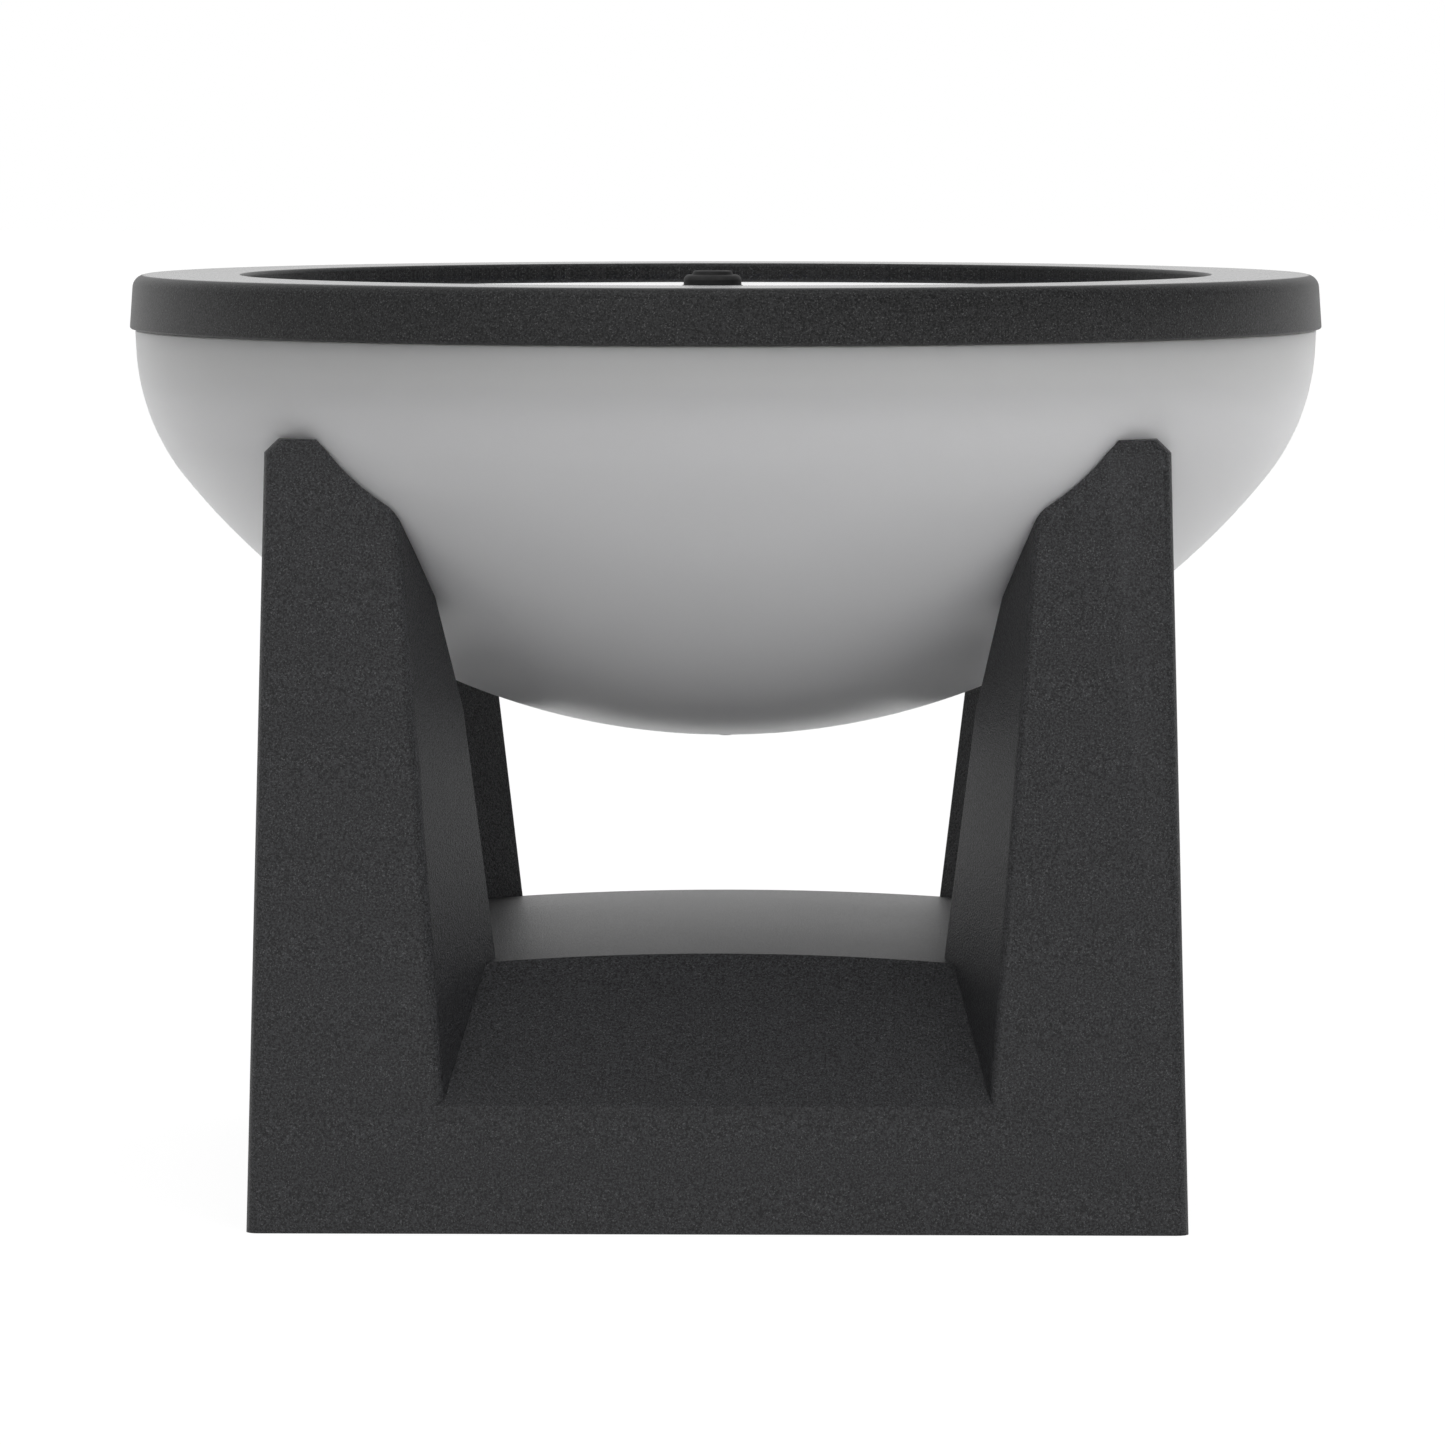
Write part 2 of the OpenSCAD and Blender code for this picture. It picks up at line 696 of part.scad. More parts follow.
module ring_cap() {
    color([0.2, 0.2, 0.21])
        difference() {
            union() {
                rotate_extrude($fn = round_fn)
                    polygon(concat(
                        [[0, floor_z], [recess_out_r, floor_z], [recess_out_r, ring_under_z],
                         [skirt_in_r, ring_under_z], [skirt_in_r, ring_z], [ring_r, ring_z]],
                        arc(ring_r - ring_taper - ring_edge_r, ring_top_z - ring_edge_r,
                            ring_edge_r, 90, 180, 6),
                        arc(recess_r + recess_edge_r, ring_top_z - recess_edge_r, recess_edge_r,
                            180, 270, 4),
                        [[recess_r, floor_top_z], [0, floor_top_z]]));
                at_tray_screws()
                    translate([0, 0, tray_floor_z + seat_gap])
                        cylinder(r = tray_boss_r, h = ring_under_z - tray_floor_z, $fn = 32);
                at_control_screws()
                    translate([0, 0, control_top_z])
                        cylinder(r = control_boss_r, h = control_drop + over / 2, $fn = 32);
            }
            translate([button_x, button_y, floor_z - over])
                cylinder(r = key_hole_r, h = floor_t + 2 * over, $fn = 48);
            translate([panel_lead_x, panel_lead_y, floor_z - over])
                cylinder(r = lead_hole_r, h = floor_t + 2 * over, $fn = 32);
            at_tray_screws()
                translate([0, 0, tray_floor_z - over])
                    cylinder(d = screw_d + 2 * thread_gap, h = tray_screw_l + over, $fn = 32);
            at_control_screws()
                translate([0, 0, control_top_z - over])
                    cylinder(d = small_screw_d + 2 * thread_gap, h = small_screw_l, $fn = 24);
        }
}

module rim_seal() {
    color("darkslategray")
        ring(neck_out_r + seat_gap, neck_in_r - seat_gap, neck_top_z + rim_seal_gap,
             ring_under_z - neck_top_z - rim_seal_gap);
}

module panel_tape() {
    color("whitesmoke")
        ring(panel_r - over, panel_r - over - tape_w, floor_top_z, tape_t);
}

module panel_holes(z, h) {
    translate([button_x, button_y, z - over])
        cylinder(r = panel_hole_r, h = h + 2 * over, $fn = 48);
}

module panel_board() {
    color("darkgreen")
        difference() {
            translate([0, 0, panel_under_z])
                cylinder(r = panel_r, h = panel_board_t, $fn = round_fn);
            panel_holes(panel_under_z, panel_board_t);
        }
}

// Cell strips, cut to the round field and round the button
module cell_strips(grow, z, h) {
    difference() {
        intersection() {
            translate([0, 0, z])
                cylinder(r = cell_field_r + grow, h = h, $fn = round_fn);
            for (i = [0:cell_count - 1])
                translate([(i - (cell_count - 1) / 2) * cell_pitch - cell_w / 2 - grow, -panel_r, z])
                    cube([cell_w + 2 * grow, 2 * panel_r, h]);
        }
        translate([button_x, button_y, z - over])
            cylinder(r = button_collar_foot_d / 2 + over - grow, h = h + 2 * over, $fn = 48);
    }
}

module solar_cells() {
    color("midnightblue")
        cell_strips(0, cells_z, cell_t);
}

module panel_glaze() {
    color([0.25, 0.3, 0.4, 0.35])
        difference() {
            translate([0, 0, cells_z])
                cylinder(r = panel_r, h = panel_glaze_t, $fn = round_fn);
            cell_strips(cell_pocket_gap, cells_z - over, cell_t + cell_pocket_gap + over);
            panel_holes(cells_z, panel_glaze_t);
        }
}

module button_collar() {
    color("black")
        translate([button_x, button_y, panel_z])
            rotate_extrude($fn = 64)
                polygon([[key_hole_r, 0], [button_collar_foot_d / 2, 0],
                         [button_collar_foot_d / 2, button_collar_foot_t],
                         [button_collar_d / 2, button_collar_foot_t],
                         [button_collar_d / 2, button_collar_h - collar_edge],
                         [button_collar_d / 2 - collar_edge, button_collar_h],
                         [key_hole_r, button_collar_h]]);
}

module lamp_tray() {
    color([0.2, 0.2, 0.21]) {
        difference() {
            rotate_extrude($fn = round_fn)
                polygon(concat(
                    [[0, tray_z]],
                    arc(tray_r - tray_corner_r, tray_z + tray_corner_r, tray_corner_r, 0, 90, 6),
                    [[tray_r, tray_top_z], [tray_in_r, tray_top_z], [tray_in_r, tray_floor_z],
                     [0, tray_floor_z]]));
            at_tray_screws()
                translate([0, 0, tray_z - over])
                    cylinder(d = screw_d + 2 * screw_gap, h = tray_floor_t + 2 * over, $fn = 32);
            at_led_screws()
                translate([0, 0, tray_z - over])
                    cylinder(d = small_screw_d + 2 * thread_gap, h = tray_floor_t + 2 * over, $fn = 24);
            translate([lamp_lead_x, lamp_lead_y, tray_z - over])
                cylinder(r = lead_hole_r, h = tray_floor_t + 2 * over, $fn = 32);
        }
        at_led_screws()
            ring(led_boss_r, small_screw_d / 2 + thread_gap, tray_floor_z - tray_floor_t / 2,
                 led_boss_h + tray_floor_t / 2, 32);
        for (i = [0:lock_count - 1])
            ring_sector(tray_r + hook_reach, tray_in_r + tray_t / 2, hook_z, lock_t,
                        lock_start + i * lock_pitch - hook_arc / 2, hook_arc);
    }
}

module tray_screws() {
    color("silver")
        at_tray_screws()
            translate([0, 0, tray_z])
                mirror([0, 0, 1])
                    pan_screw(screw_d, tray_screw_l, screw_head_d, screw_head_h);
}

// ---- Lamps and boards ----

lamp_lead_x = 0;
lamp_lead_y = -8;

module at_led_screws() {
    for (i = [0:2])
        rotate([0, 0, 90 + 120 * i])
            translate([led_screw_circle_r, 0, 0])
                children();
}

module lamp_board() {
    color("white")
        difference() {
            translate([0, 0, led_board_z])
                cylinder(d = led_board_d, h = board_t, $fn = 128);
            at_led_screws()
                translate([0, 0, led_board_z - over])
                    cylinder(d = small_screw_d + 2 * screw_gap, h = board_t + 2 * over, $fn = 24);
            translate([lamp_lead_x, lamp_lead_y, led_board_z - over])
                cylinder(r = lead_hole_r, h = board_t + 2 * over, $fn = 32);
        }
}

module lamps() {
    color("khaki")
        for (i = [0:led_count - 1])
            rotate([0, 0, i * 360 / led_count])
                translate([led_circle_r - led_w / 2, -led_w / 2, led_z])
                    cube([led_w, led_w, led_h]);
}

module lamp_board_screws() {
    color("silver")
        at_led_screws()
            translate([0, 0, led_board_z])
                mirror([0, 0, 1])
                    pan_screw(small_screw_d, small_screw_l, small_head_d, small_head_h);
}

module control_board() {
    color("seagreen")
        difference() {
            translate([button_x - control_l / 2, control_y - control_w / 2, control_z])
                cube([control_l, control_w, board_t]);
            at_control_screws()
                translate([0, 0, control_z - over])
                    cylinder(d = small_screw_d + 2 * screw_gap, h = board_t + 2 * over, $fn = 24);
        }
}

module board_parts() {
    color("dimgray")
        translate([button_x, control_y, control_top_z]) {
            translate([-parts_x, -parts_y, 0])
                cube([chip_l, chip_w, chip_h]);
            translate([parts_x - coil_w, -parts_y, 0])
                cube([coil_w, coil_w, coil_h]);
            translate([parts_x - capacitor_r, parts_y - 2 * capacitor_r, 0])
                cylinder(r = capacitor_r, h = capacitor_h, $fn = 32);
            translate([-parts_x, parts_y - plug_l, 0])
                cube([plug_w, plug_l, plug_h]);
            for (i = [0:3])
                translate([(i - 1.5) * resistor_pitch - resistor_l / 2, parts_y - 2 * capacitor_r, 0])
                    cube([resistor_l, resistor_w, resistor_h]);
        }
}

module control_board_screws() {
    color("silver")
        at_control_screws()
            translate([0, 0, control_z])
                mirror([0, 0, 1])
                    pan_screw(small_screw_d, small_screw_l, small_head_d, small_head_h);
}

module push_switch() {
    color([0.12, 0.12, 0.13])
        translate([button_x, button_y, 0])
            difference() {
                translate([-switch_w / 2, -switch_w / 2, control_top_z])
                    cube([switch_w, switch_w, switch_h]);
                translate([0, 0, plunger_bore_z])
                    cylinder(r = plunger_r + plunger_gap, h = switch_h, $fn = 32);
            }
}

// ---- Button ----

module button_key() {
    color([0.1, 0.1, 0.1])
        translate([button_x, button_y, 0])
            rotate_extrude($fn = 64)
                polygon(concat(
                    [[plunger_r + plunger_gap, key_bottom_z], [key_foot_r, key_bottom_z],
                     [key_foot_r, key_flange_top_z - key_flange_t],
                     [key_flange_r, key_flange_top_z - key_flange_t],
                     [key_flange_r, key_flange_top_z], [key_foot_r, key_flange_top_z],
                     [key_foot_r, key_foot_top_z - key_step], [key_r, key_foot_top_z]],
                    arc(key_r - button_shoulder_h, key_top_z - 2 * button_shoulder_h,
                        button_shoulder_h, 90, 170, 5),
                    [[button_flat_d / 2 + 0.3, key_top_z - button_shoulder_h + 0.15],
                     [button_flat_d / 2, key_top_z], [0, key_top_z], [0, plunger_top_z],
                     [plunger_r + plunger_gap, plunger_top_z]]));
}

module switch_plunger() {
    color("white")
        translate([button_x, button_y, plunger_z])
            cylinder(r = plunger_r, h = plunger_top_z - plunger_z, $fn = 32);
}

// ---- Battery ----

module battery_holder() {
    color([0.15, 0.15, 0.16])
        translate([0, battery_y, tray_floor_z]) {
            difference() {
                translate([-holder_l / 2, -holder_w / 2, 0])
                    cube([holder_l, holder_w, holder_h]);
                translate([-holder_in_l / 2, -holder_w / 2 + holder_t, holder_floor_t])
                    cube([holder_in_l, holder_w - 2 * holder_t, holder_h]);
            }
        }
}

module battery_cell() {
    color("steelblue")
        translate([-battery_l / 2, battery_y, battery_z])
            rotate([0, 90, 0]) {
                cylinder(r = battery_r, h = battery_l - 1.2, $fn = 64);
                cylinder(r = 2.6, h = battery_l, $fn = 32);
            }
}

function spring_route(turns, steps, r_small, r_large, length) =
    [for (i = [0:turns * steps])
        let (t = i / (turns * steps), r = r_large + (r_small - r_large) * t)
        [length * t, r * cos(360 * i / steps), r * sin(360 * i / steps)]];

module battery_contacts() {
    spring_l = contact_room - contact_plate_t - contact_wire_d - lead_gap;
    spring_r = contact_spring_d / 2;
    color("silver")
        translate([0, battery_y, battery_z]) {
            for (side = [0, 1])
                mirror([side, 0, 0])
                    translate([-holder_in_l / 2, -contact_plate_w / 2, -battery_r + 0.1])
                        cube([contact_plate_t, contact_plate_w, holder_h - holder_floor_t - 0.2]);
            translate([holder_in_l / 2 - contact_plate_t, 0, 0])
                rotate([0, -90, 0])
                    cylinder(r = 2.4, h = contact_room - contact_plate_t - lead_gap, $fn = 32);
            translate([-holder_in_l / 2 + contact_plate_t + contact_wire_d / 4, 0, 0])
                tube(spring_route(2, 14, 1.5, spring_r - contact_wire_d / 2, spring_l),
                     contact_wire_d / 2, 6, [1, 0, 0]);
        }
}

// ---- Leads ----

module lead_pair(route, ref, shift) {
    for (side = [-1, 1])
        tube(smooth_route([for (p = route) p + side * shift], 3), lead_d / 2, 8, ref);
}

module panel_leads() {
    top = panel_under_z - lead_gap;
    pad = control_top_z + lead_gap;
    y0 = panel_lead_y;
    color("firebrick")
        lead_pair([[panel_lead_x, y0, top], [panel_lead_x, y0, top - lead_bend],
                   [panel_lead_x, y0 - 0.8 * lead_bend, top - 1.5 * lead_bend],
                   [panel_lead_x, y0 - 2 * lead_bend, top - 1.65 * lead_bend],
                   [panel_lead_x, y0 - 2.7 * lead_bend, pad + lead_bend / 3],
                   [panel_lead_x, y0 - 2.8 * lead_bend, pad]],
                  [1, 0, 0], [lead_spread, 0, 0]);
}

module lamp_leads() {
    low = led_board_z + lead_gap + 0.4;
    pad = control_z - lead_gap;
    run_z = low + 2 * lead_bend;
    x0 = lamp_lead_x;
    y0 = lamp_lead_y;
    end_y = control_y + control_w / 2 - 2 * lead_bend;
    color("khaki")
        lead_pair([[x0, y0, low], [x0, y0, low + 1.2 * lead_bend],
                   [x0, y0 - 1.3 * lead_bend, run_z - lead_bend / 8],
                   [x0, (y0 + end_y) / 2, run_z], [x0, end_y + 1.3 * lead_bend, run_z],
                   [x0, end_y + lead_bend / 6, pad - lead_bend / 2], [x0, end_y, pad]],
                  [1, 0, 0], [lead_spread, 0, 0]);
}

module battery_leads() {
    pad = control_z - lead_gap;
    start_x = holder_l / 2 + lead_gap;
    z0 = battery_z - battery_r / 3.5;
    bend = lead_bend;
    end_x = 3 * bend;
    end_y = control_y + 2 * bend;
    color("black")
        for (side = [-1, 1])
            tube(smooth_route([[side * start_x, battery_y, z0],
                               [side * (start_x + 0.7 * bend), battery_y, z0],
                               [side * (start_x + 2.4 * bend), battery_y - 2 * bend, z0],
                               [side * (start_x + 3 * bend), battery_y / 4, z0],
                               [side * (start_x + 1.7 * bend), end_y / 2.4, z0],
                               [side * (start_x - 2.3 * bend), end_y + 2.3 * bend, z0 + 0.2 * bend],
                               [side * (end_x + bend), end_y + bend / 3, z0 + 0.5 * bend],
                               [side * end_x, end_y, pad - 0.4 * bend],
                               [side * end_x, end_y - bend / 15, pad]], 3),
                 lead_d / 2, 8, [0.2, 0.1, 1]);
}

stand();
diffuser_bowl();
bowl_screws();
bowl_screw_washers();
ring_cap();
rim_seal();
panel_tape();
panel_board();
solar_cells();
panel_glaze();
lamp_tray();
tray_screws();
lamp_board();
lamps();
lamp_board_screws();
control_board();
board_parts();
control_board_screws();
push_switch();
battery_holder();
battery_cell();
battery_contacts();
panel_leads();
battery_leads();
lamp_leads();
button_collar();
button_key();
switch_plunger();
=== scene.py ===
"""Dresses the solar bowl lamp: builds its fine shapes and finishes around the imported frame."""

import logging
import math
from dataclasses import dataclass
from enum import Enum
from typing import Any, Callable, Iterable, Sequence

import bmesh
import bpy
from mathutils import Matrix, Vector


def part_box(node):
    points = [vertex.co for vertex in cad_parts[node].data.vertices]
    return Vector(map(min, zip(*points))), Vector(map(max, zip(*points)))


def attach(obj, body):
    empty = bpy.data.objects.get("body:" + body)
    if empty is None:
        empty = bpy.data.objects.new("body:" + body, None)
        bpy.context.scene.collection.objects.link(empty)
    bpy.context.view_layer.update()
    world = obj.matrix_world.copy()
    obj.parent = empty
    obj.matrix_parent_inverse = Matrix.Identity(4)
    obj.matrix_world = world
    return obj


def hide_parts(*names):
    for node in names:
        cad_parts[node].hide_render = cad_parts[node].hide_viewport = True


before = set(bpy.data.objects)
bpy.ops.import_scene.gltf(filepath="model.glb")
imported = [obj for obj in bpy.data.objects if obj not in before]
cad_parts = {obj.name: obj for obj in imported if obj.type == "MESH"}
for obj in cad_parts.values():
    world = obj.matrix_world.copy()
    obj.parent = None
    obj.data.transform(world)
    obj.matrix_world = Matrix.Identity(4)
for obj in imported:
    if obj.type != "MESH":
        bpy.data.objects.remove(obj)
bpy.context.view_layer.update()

LOG = logging.getLogger("solar_bowl_lamp")
MM = 0.001
WORN = "worn_edge"
FLOAT = "NodeSocketFloat"
VECTOR = "NodeSocketVector"

Point = tuple[float, float]
Colour = tuple[float, float, float]
Mesh = bmesh.types.BMesh
Object = bpy.types.Object
Tree = bpy.types.NodeTree
Node = bpy.types.Node
Socket = bpy.types.NodeSocket


class Body(Enum):
    """The frame's bodies."""

    BASE = "base"
    CAP = "cap"
    BUTTON = "button"


class Carve(Enum):
    """What a tool does to a piece."""

    AWAY = "DIFFERENCE"
    ON = "UNION"


# ---------------------------------------------------------------- mesh helpers


def arc(centre: Point, radius: float, start: float, end: float, steps: int = 8) -> list[Point]:
    """Points on an arc, with angles in degrees from the outward axis.

    Args:
        centre: The arc's centre as (radius from the axis, height).
        radius: The arc's radius.
        start: First angle.
        end: Last angle.
        steps: Number of stretches.

    Returns:
        The points from start to end.
    """
    angles = [math.radians(start + (end - start) * i / steps) for i in range(steps + 1)]
    return [(centre[0] + radius * math.cos(a), centre[1] + radius * math.sin(a)) for a in angles]


def revolve(profile: Sequence[Point], segments: int, closed: bool) -> Mesh:
    """Turns a profile about the upright axis.

    Args:
        profile: Points as (radius, height); a radius of 0 makes a pole.
        segments: Number of steps round the axis.
        closed: Whether the last point joins the first.

    Returns:
        A closed mesh with outward normals.
    """
    mesh = bmesh.new()
    rings: list[list[bmesh.types.BMVert]] = []
    for radius, height in profile:
        if radius <= 0.0:
            rings.append([mesh.verts.new((0.0, 0.0, height))])
            continue
        turns = [2 * math.pi * k / segments for k in range(segments)]
        places = [(radius * math.cos(t), radius * math.sin(t), height) for t in turns]
        rings.append([mesh.verts.new(place) for place in places])
    count = len(rings)
    for i in range(count if closed else count - 1):
        low, high = rings[i], rings[(i + 1) % count]
        for k in range(segments):
            n = (k + 1) % segments
            corners = [low[k % len(low)], low[n % len(low)], high[n % len(high)], high[k % len(high)]]
            unique = list(dict.fromkeys(corners))
            if len(unique) > 2:
                mesh.faces.new(unique)
    bmesh.ops.recalc_face_normals(mesh, faces=mesh.faces)
    return mesh


def soften(mesh: Mesh, angle: float) -> None:
    """Shades a mesh smooth, apart from its sharp edges.

    Args:
        mesh: The mesh.
        angle: The angle in degrees from which an edge is sharp.
    """
    limit = math.radians(angle)
    for face in mesh.faces:
        face.smooth = True
    for edge in mesh.edges:
        if len(edge.link_faces) == 2:
            edge.smooth = edge.calc_face_angle(0.0) < limit


def resoften(obj: Object, angle: float = 30.0) -> None:
    """Shades a finished piece smooth, apart from its sharp edges.

    Args:
        obj: The piece.
        angle: The angle in degrees from which an edge is sharp.
    """
    mesh = bmesh.new()
    mesh.from_mesh(obj.data)
    soften(mesh, angle)
    mesh.to_mesh(obj.data)
    mesh.free()


def add_object(name: str, data: bpy.types.ID) -> Object:
    """Makes an object and links it to the scene.

    Args:
        name: Its name.
        data: Its mesh, camera or light.

    Returns:
        The object.
    """
    obj = bpy.data.objects.new(name, data)
    bpy.context.scene.collection.objects.link(obj)
    return obj


def mesh_object(mesh: Mesh, name: str) -> Object:
    """Makes an object from a mesh and frees the mesh.

    Args:
        mesh: The mesh.
        name: The object's name.

    Returns:
        The object.
    """
    data = bpy.data.meshes.new(name)
    mesh.to_mesh(data)
    mesh.free()
    return add_object(name, data)


def discard(obj: Object) -> None:
    """Removes an object and its mesh.

    Args:
        obj: The object.
    """
    data = obj.data
    bpy.data.objects.remove(obj)
    bpy.data.meshes.remove(data)


def settle(obj: Object) -> Object:
    """Applies an object's modifiers, so that it is a plain mesh.

    Args:
        obj: The object.

    Returns:
        The same object.
    """
    graph = bpy.context.evaluated_depsgraph_get()
    graph.update()
    shaped = obj.evaluated_get(graph)
    data = bpy.data.meshes.new_from_object(shaped, preserve_all_data_layers=True, depsgraph=graph)
    obj.modifiers.clear()
    obj.data = data
    return obj


def mark_edges(obj: Object, radius: float = 0.9 * MM) -> None:
    """Marks the outer edges that are rounded tighter than a radius, for the wear on them.

    Args:
        obj: The piece, with its modifiers applied.
        radius: The largest radius that counts as an edge.
    """
    mesh = bmesh.new()
    mesh.from_mesh(obj.data)
    marks = [0.0] * len(mesh.verts)
    for edge in mesh.edges:
        if len(edge.link_faces) == 2 and edge.is_convex and edge.calc_length() > 0.0:
            width = sum(face.calc_area() for face in edge.link_faces) / (2.0 * edge.calc_length())
            if edge.calc_face_angle(0.0) * radius > width:
                for vert in edge.verts:
                    marks[vert.index] = 1.0
    mesh.free()
    obj.data.attributes.new(WORN, "FLOAT", "POINT").data.foreach_set("value", marks)


def cylinder_at(name: str, place: Vector, radius: float, low: float, high: float) -> Object:
    """Makes an upright cylinder between two heights.

    Args:
        name: Its name.
        place: Where its axis stands.
        radius: Its radius.
        low: The height of its foot.
        high: The height of its top.

    Returns:
        The cylinder.
    """
    mesh = bmesh.new()
    bmesh.ops.create_cone(mesh, cap_ends=True, segments=64, radius1=radius, radius2=radius, depth=high - low)
    bmesh.ops.translate(mesh, verts=mesh.verts, vec=(place.x, place.y, (low + high) / 2))
    return mesh_object(mesh, name)


def carve(obj: Object, tools: Iterable[Object], way: Carve = Carve.AWAY) -> None:
    """Cuts tools out of a piece, or joins them on, and removes them.

    Args:
        obj: The piece.
        tools: The tools.
        way: What they do to it.
    """
    tools = list(tools)
    for tool in tools:
        step = obj.modifiers.new("carve", "BOOLEAN")
        step.operation = way.value
        step.solver = "EXACT"
        step.object = tool
    settle(obj)
    for tool in tools:
        discard(tool)


def cad_copy(node: str, merge: float = 0.002 * MM) -> Mesh:
    """Copies a frame node's mesh and joins its loose triangles.

    Args:
        node: The frame node's name.
        merge: How near two corners are one.

    Returns:
        The copy.
    """
    mesh = bmesh.new()
    mesh.from_mesh(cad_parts[node].data)
    bmesh.ops.remove_doubles(mesh, verts=mesh.verts, dist=merge)
    return mesh


# -------------------------------------------------------------- node helpers


def opaque(colour: Colour, times: float = 1.0, plus: float = 0.0) -> tuple[float, ...]:
    """A colour as a socket takes it, scaled and lifted, with no part above 1."""
    return tuple(min(part * times + plus, 1.0) for part in colour) + (1.0,)


class Nodes:
    """Adds and joins the nodes of one tree."""

    def __init__(self, tree: Tree) -> None:
        """Keeps the tree that the nodes go into."""
        self.tree = tree

    @classmethod
    def fresh(cls, owner: bpy.types.Material | bpy.types.World) -> "Nodes":
        """Starts the nodes of a material or a world afresh.

        Args:
            owner: The material or world.

        Returns:
            Its nodes, none yet.
        """
        owner.use_nodes = True
        owner.node_tree.nodes.clear()
        return cls(owner.node_tree)

    def add(self, kind: str, **settings: Any) -> Node:
        """Adds a node and sets its properties.

        Args:
            kind: The node's type.
            **settings: Its properties by name.

        Returns:
            The node.
        """
        node = self.tree.nodes.new(kind)
        for key, value in settings.items():
            setattr(node, key, value)
        return node

    def join(self, source: Socket, target: Socket) -> None:
        """Links an output to an input."""
        self.tree.links.new(source, target)

    def feed(self, target: Socket, value: Any) -> None:
        """Links or sets an input, whichever the value asks for.

        Args:
            target: The input.
            value: An output to link, or a plain value to set.
        """
        if isinstance(value, Socket):
            self.join(value, target)
        else:
            target.default_value = value

    def fill(self, node: Node, **values: Any) -> Node:
        """Links or sets a node's inputs by name.

        Args:
            node: The node.
            **values: What its inputs take, with underscores for the spaces in a name.

        Returns:
            The same node.
        """
        for name, value in values.items():
            self.feed(node.inputs[name.replace("_", " ")], value)
        return node

    def math(self, operation: str, *values: Any) -> Socket:
        """Adds a Math node.

        Args:
            operation: What it works out.
            *values: Up to three outputs or numbers.

        Returns:
            Its result.
        """
        node = self.add("ShaderNodeMath", operation=operation)
        for socket, value in zip(node.inputs, values):
            self.feed(socket, value)
        return node.outputs[0]

    def plus(self, first: Any, second: Any) -> Socket:
        """Adds two values."""
        return self.math("ADD", first, second)

    def minus(self, first: Any, second: Any) -> Socket:
        """Takes the second value from the first."""
        return self.math("SUBTRACT", first, second)

    def times(self, first: Any, second: Any) -> Socket:
        """Multiplies two values."""
        return self.math("MULTIPLY", first, second)

    def over(self, first: Any, second: Any) -> Socket:
        """Divides the first value by the second."""
        return self.math("DIVIDE", first, second)

    def span(self, value: Any, low: Any, high: Any, to_low: float = 0.0, to_high: float = 1.0) -> Socket:
        """Maps a value from one span to another, smoothly and clamped.

        Args:
            value: The value.
            low: Where its span starts.
            high: Where its span ends.
            to_low: What it becomes at low.
            to_high: What it becomes at high.

        Returns:
            The mapped value.
        """
        node = self.add("ShaderNodeMapRange", interpolation_type="SMOOTHSTEP")
        for socket, item in zip(node.inputs, (value, low, high, to_low, to_high)):
            self.feed(socket, item)
        return node.outputs[0]

    def vary(self, mask: Any, middle: float, share: float, low: float = 0.0, high: float = 1.0) -> Socket:
        """Varies a value by a share of itself either way, as a mask goes from low to high."""
        return self.span(mask, low, high, middle * (1 - share), middle * (1 + share))

    def mix(self, factor: Any, first: Any, second: Any, blend: str = "MIX") -> Socket:
        """Mixes two colours.

        Args:
            factor: The second colour's share.
            first: The first colour.
            second: The second colour.
            blend: How they are mixed.

        Returns:
            The mixed colour.
        """
        node = self.add("ShaderNodeMix", data_type="RGBA", blend_type=blend)
        inputs = {socket.identifier: socket for socket in node.inputs}
        for name, item in (("Factor_Float", factor), ("A_Color", first), ("B_Color", second)):
            self.feed(inputs[name], item)
        return next(socket for socket in node.outputs if socket.identifier == "Result_Color")

    def noise(self, place: Socket, scale: Any, detail: float = 2.0, rough: float = 0.5) -> Socket:
        """Adds a noise texture and gives its value."""
        node = self.add("ShaderNodeTexNoise")
        return self.fill(node, Vector=place, Scale=scale, Detail=detail, Roughness=rough).outputs["Fac"]

    def cells(self, place: Socket, scale: Any) -> Node:
        """Adds a Voronoi texture."""
        return self.fill(self.add("ShaderNodeTexVoronoi"), Vector=place, Scale=scale)

    def place(self) -> Socket:
        """Gives the Object coordinates."""
        return self.add("ShaderNodeTexCoord").outputs["Object"]

    def axes(self, place: Socket) -> Any:
        """Splits a place into X, Y and Z."""
        return self.fill(self.add("ShaderNodeSeparateXYZ"), Vector=place).outputs

    def channels(self, colour: Socket) -> Any:
        """Splits a colour into its three channels."""
        return self.fill(self.add("ShaderNodeSeparateColor"), Color=colour).outputs

    def vector(self, **parts: Any) -> Socket:
        """Makes a vector from its parts by axis, where a part not given is 0."""
        return self.fill(self.add("ShaderNodeCombineXYZ"), **parts).outputs[0]

    def bump(self, height: Any, strength: float, distance: float) -> Socket:
        """Adds a Bump node and gives its normal."""
        node = self.add("ShaderNodeBump")
        return self.fill(node, Height=height, Strength=strength, Distance=distance).outputs[0]


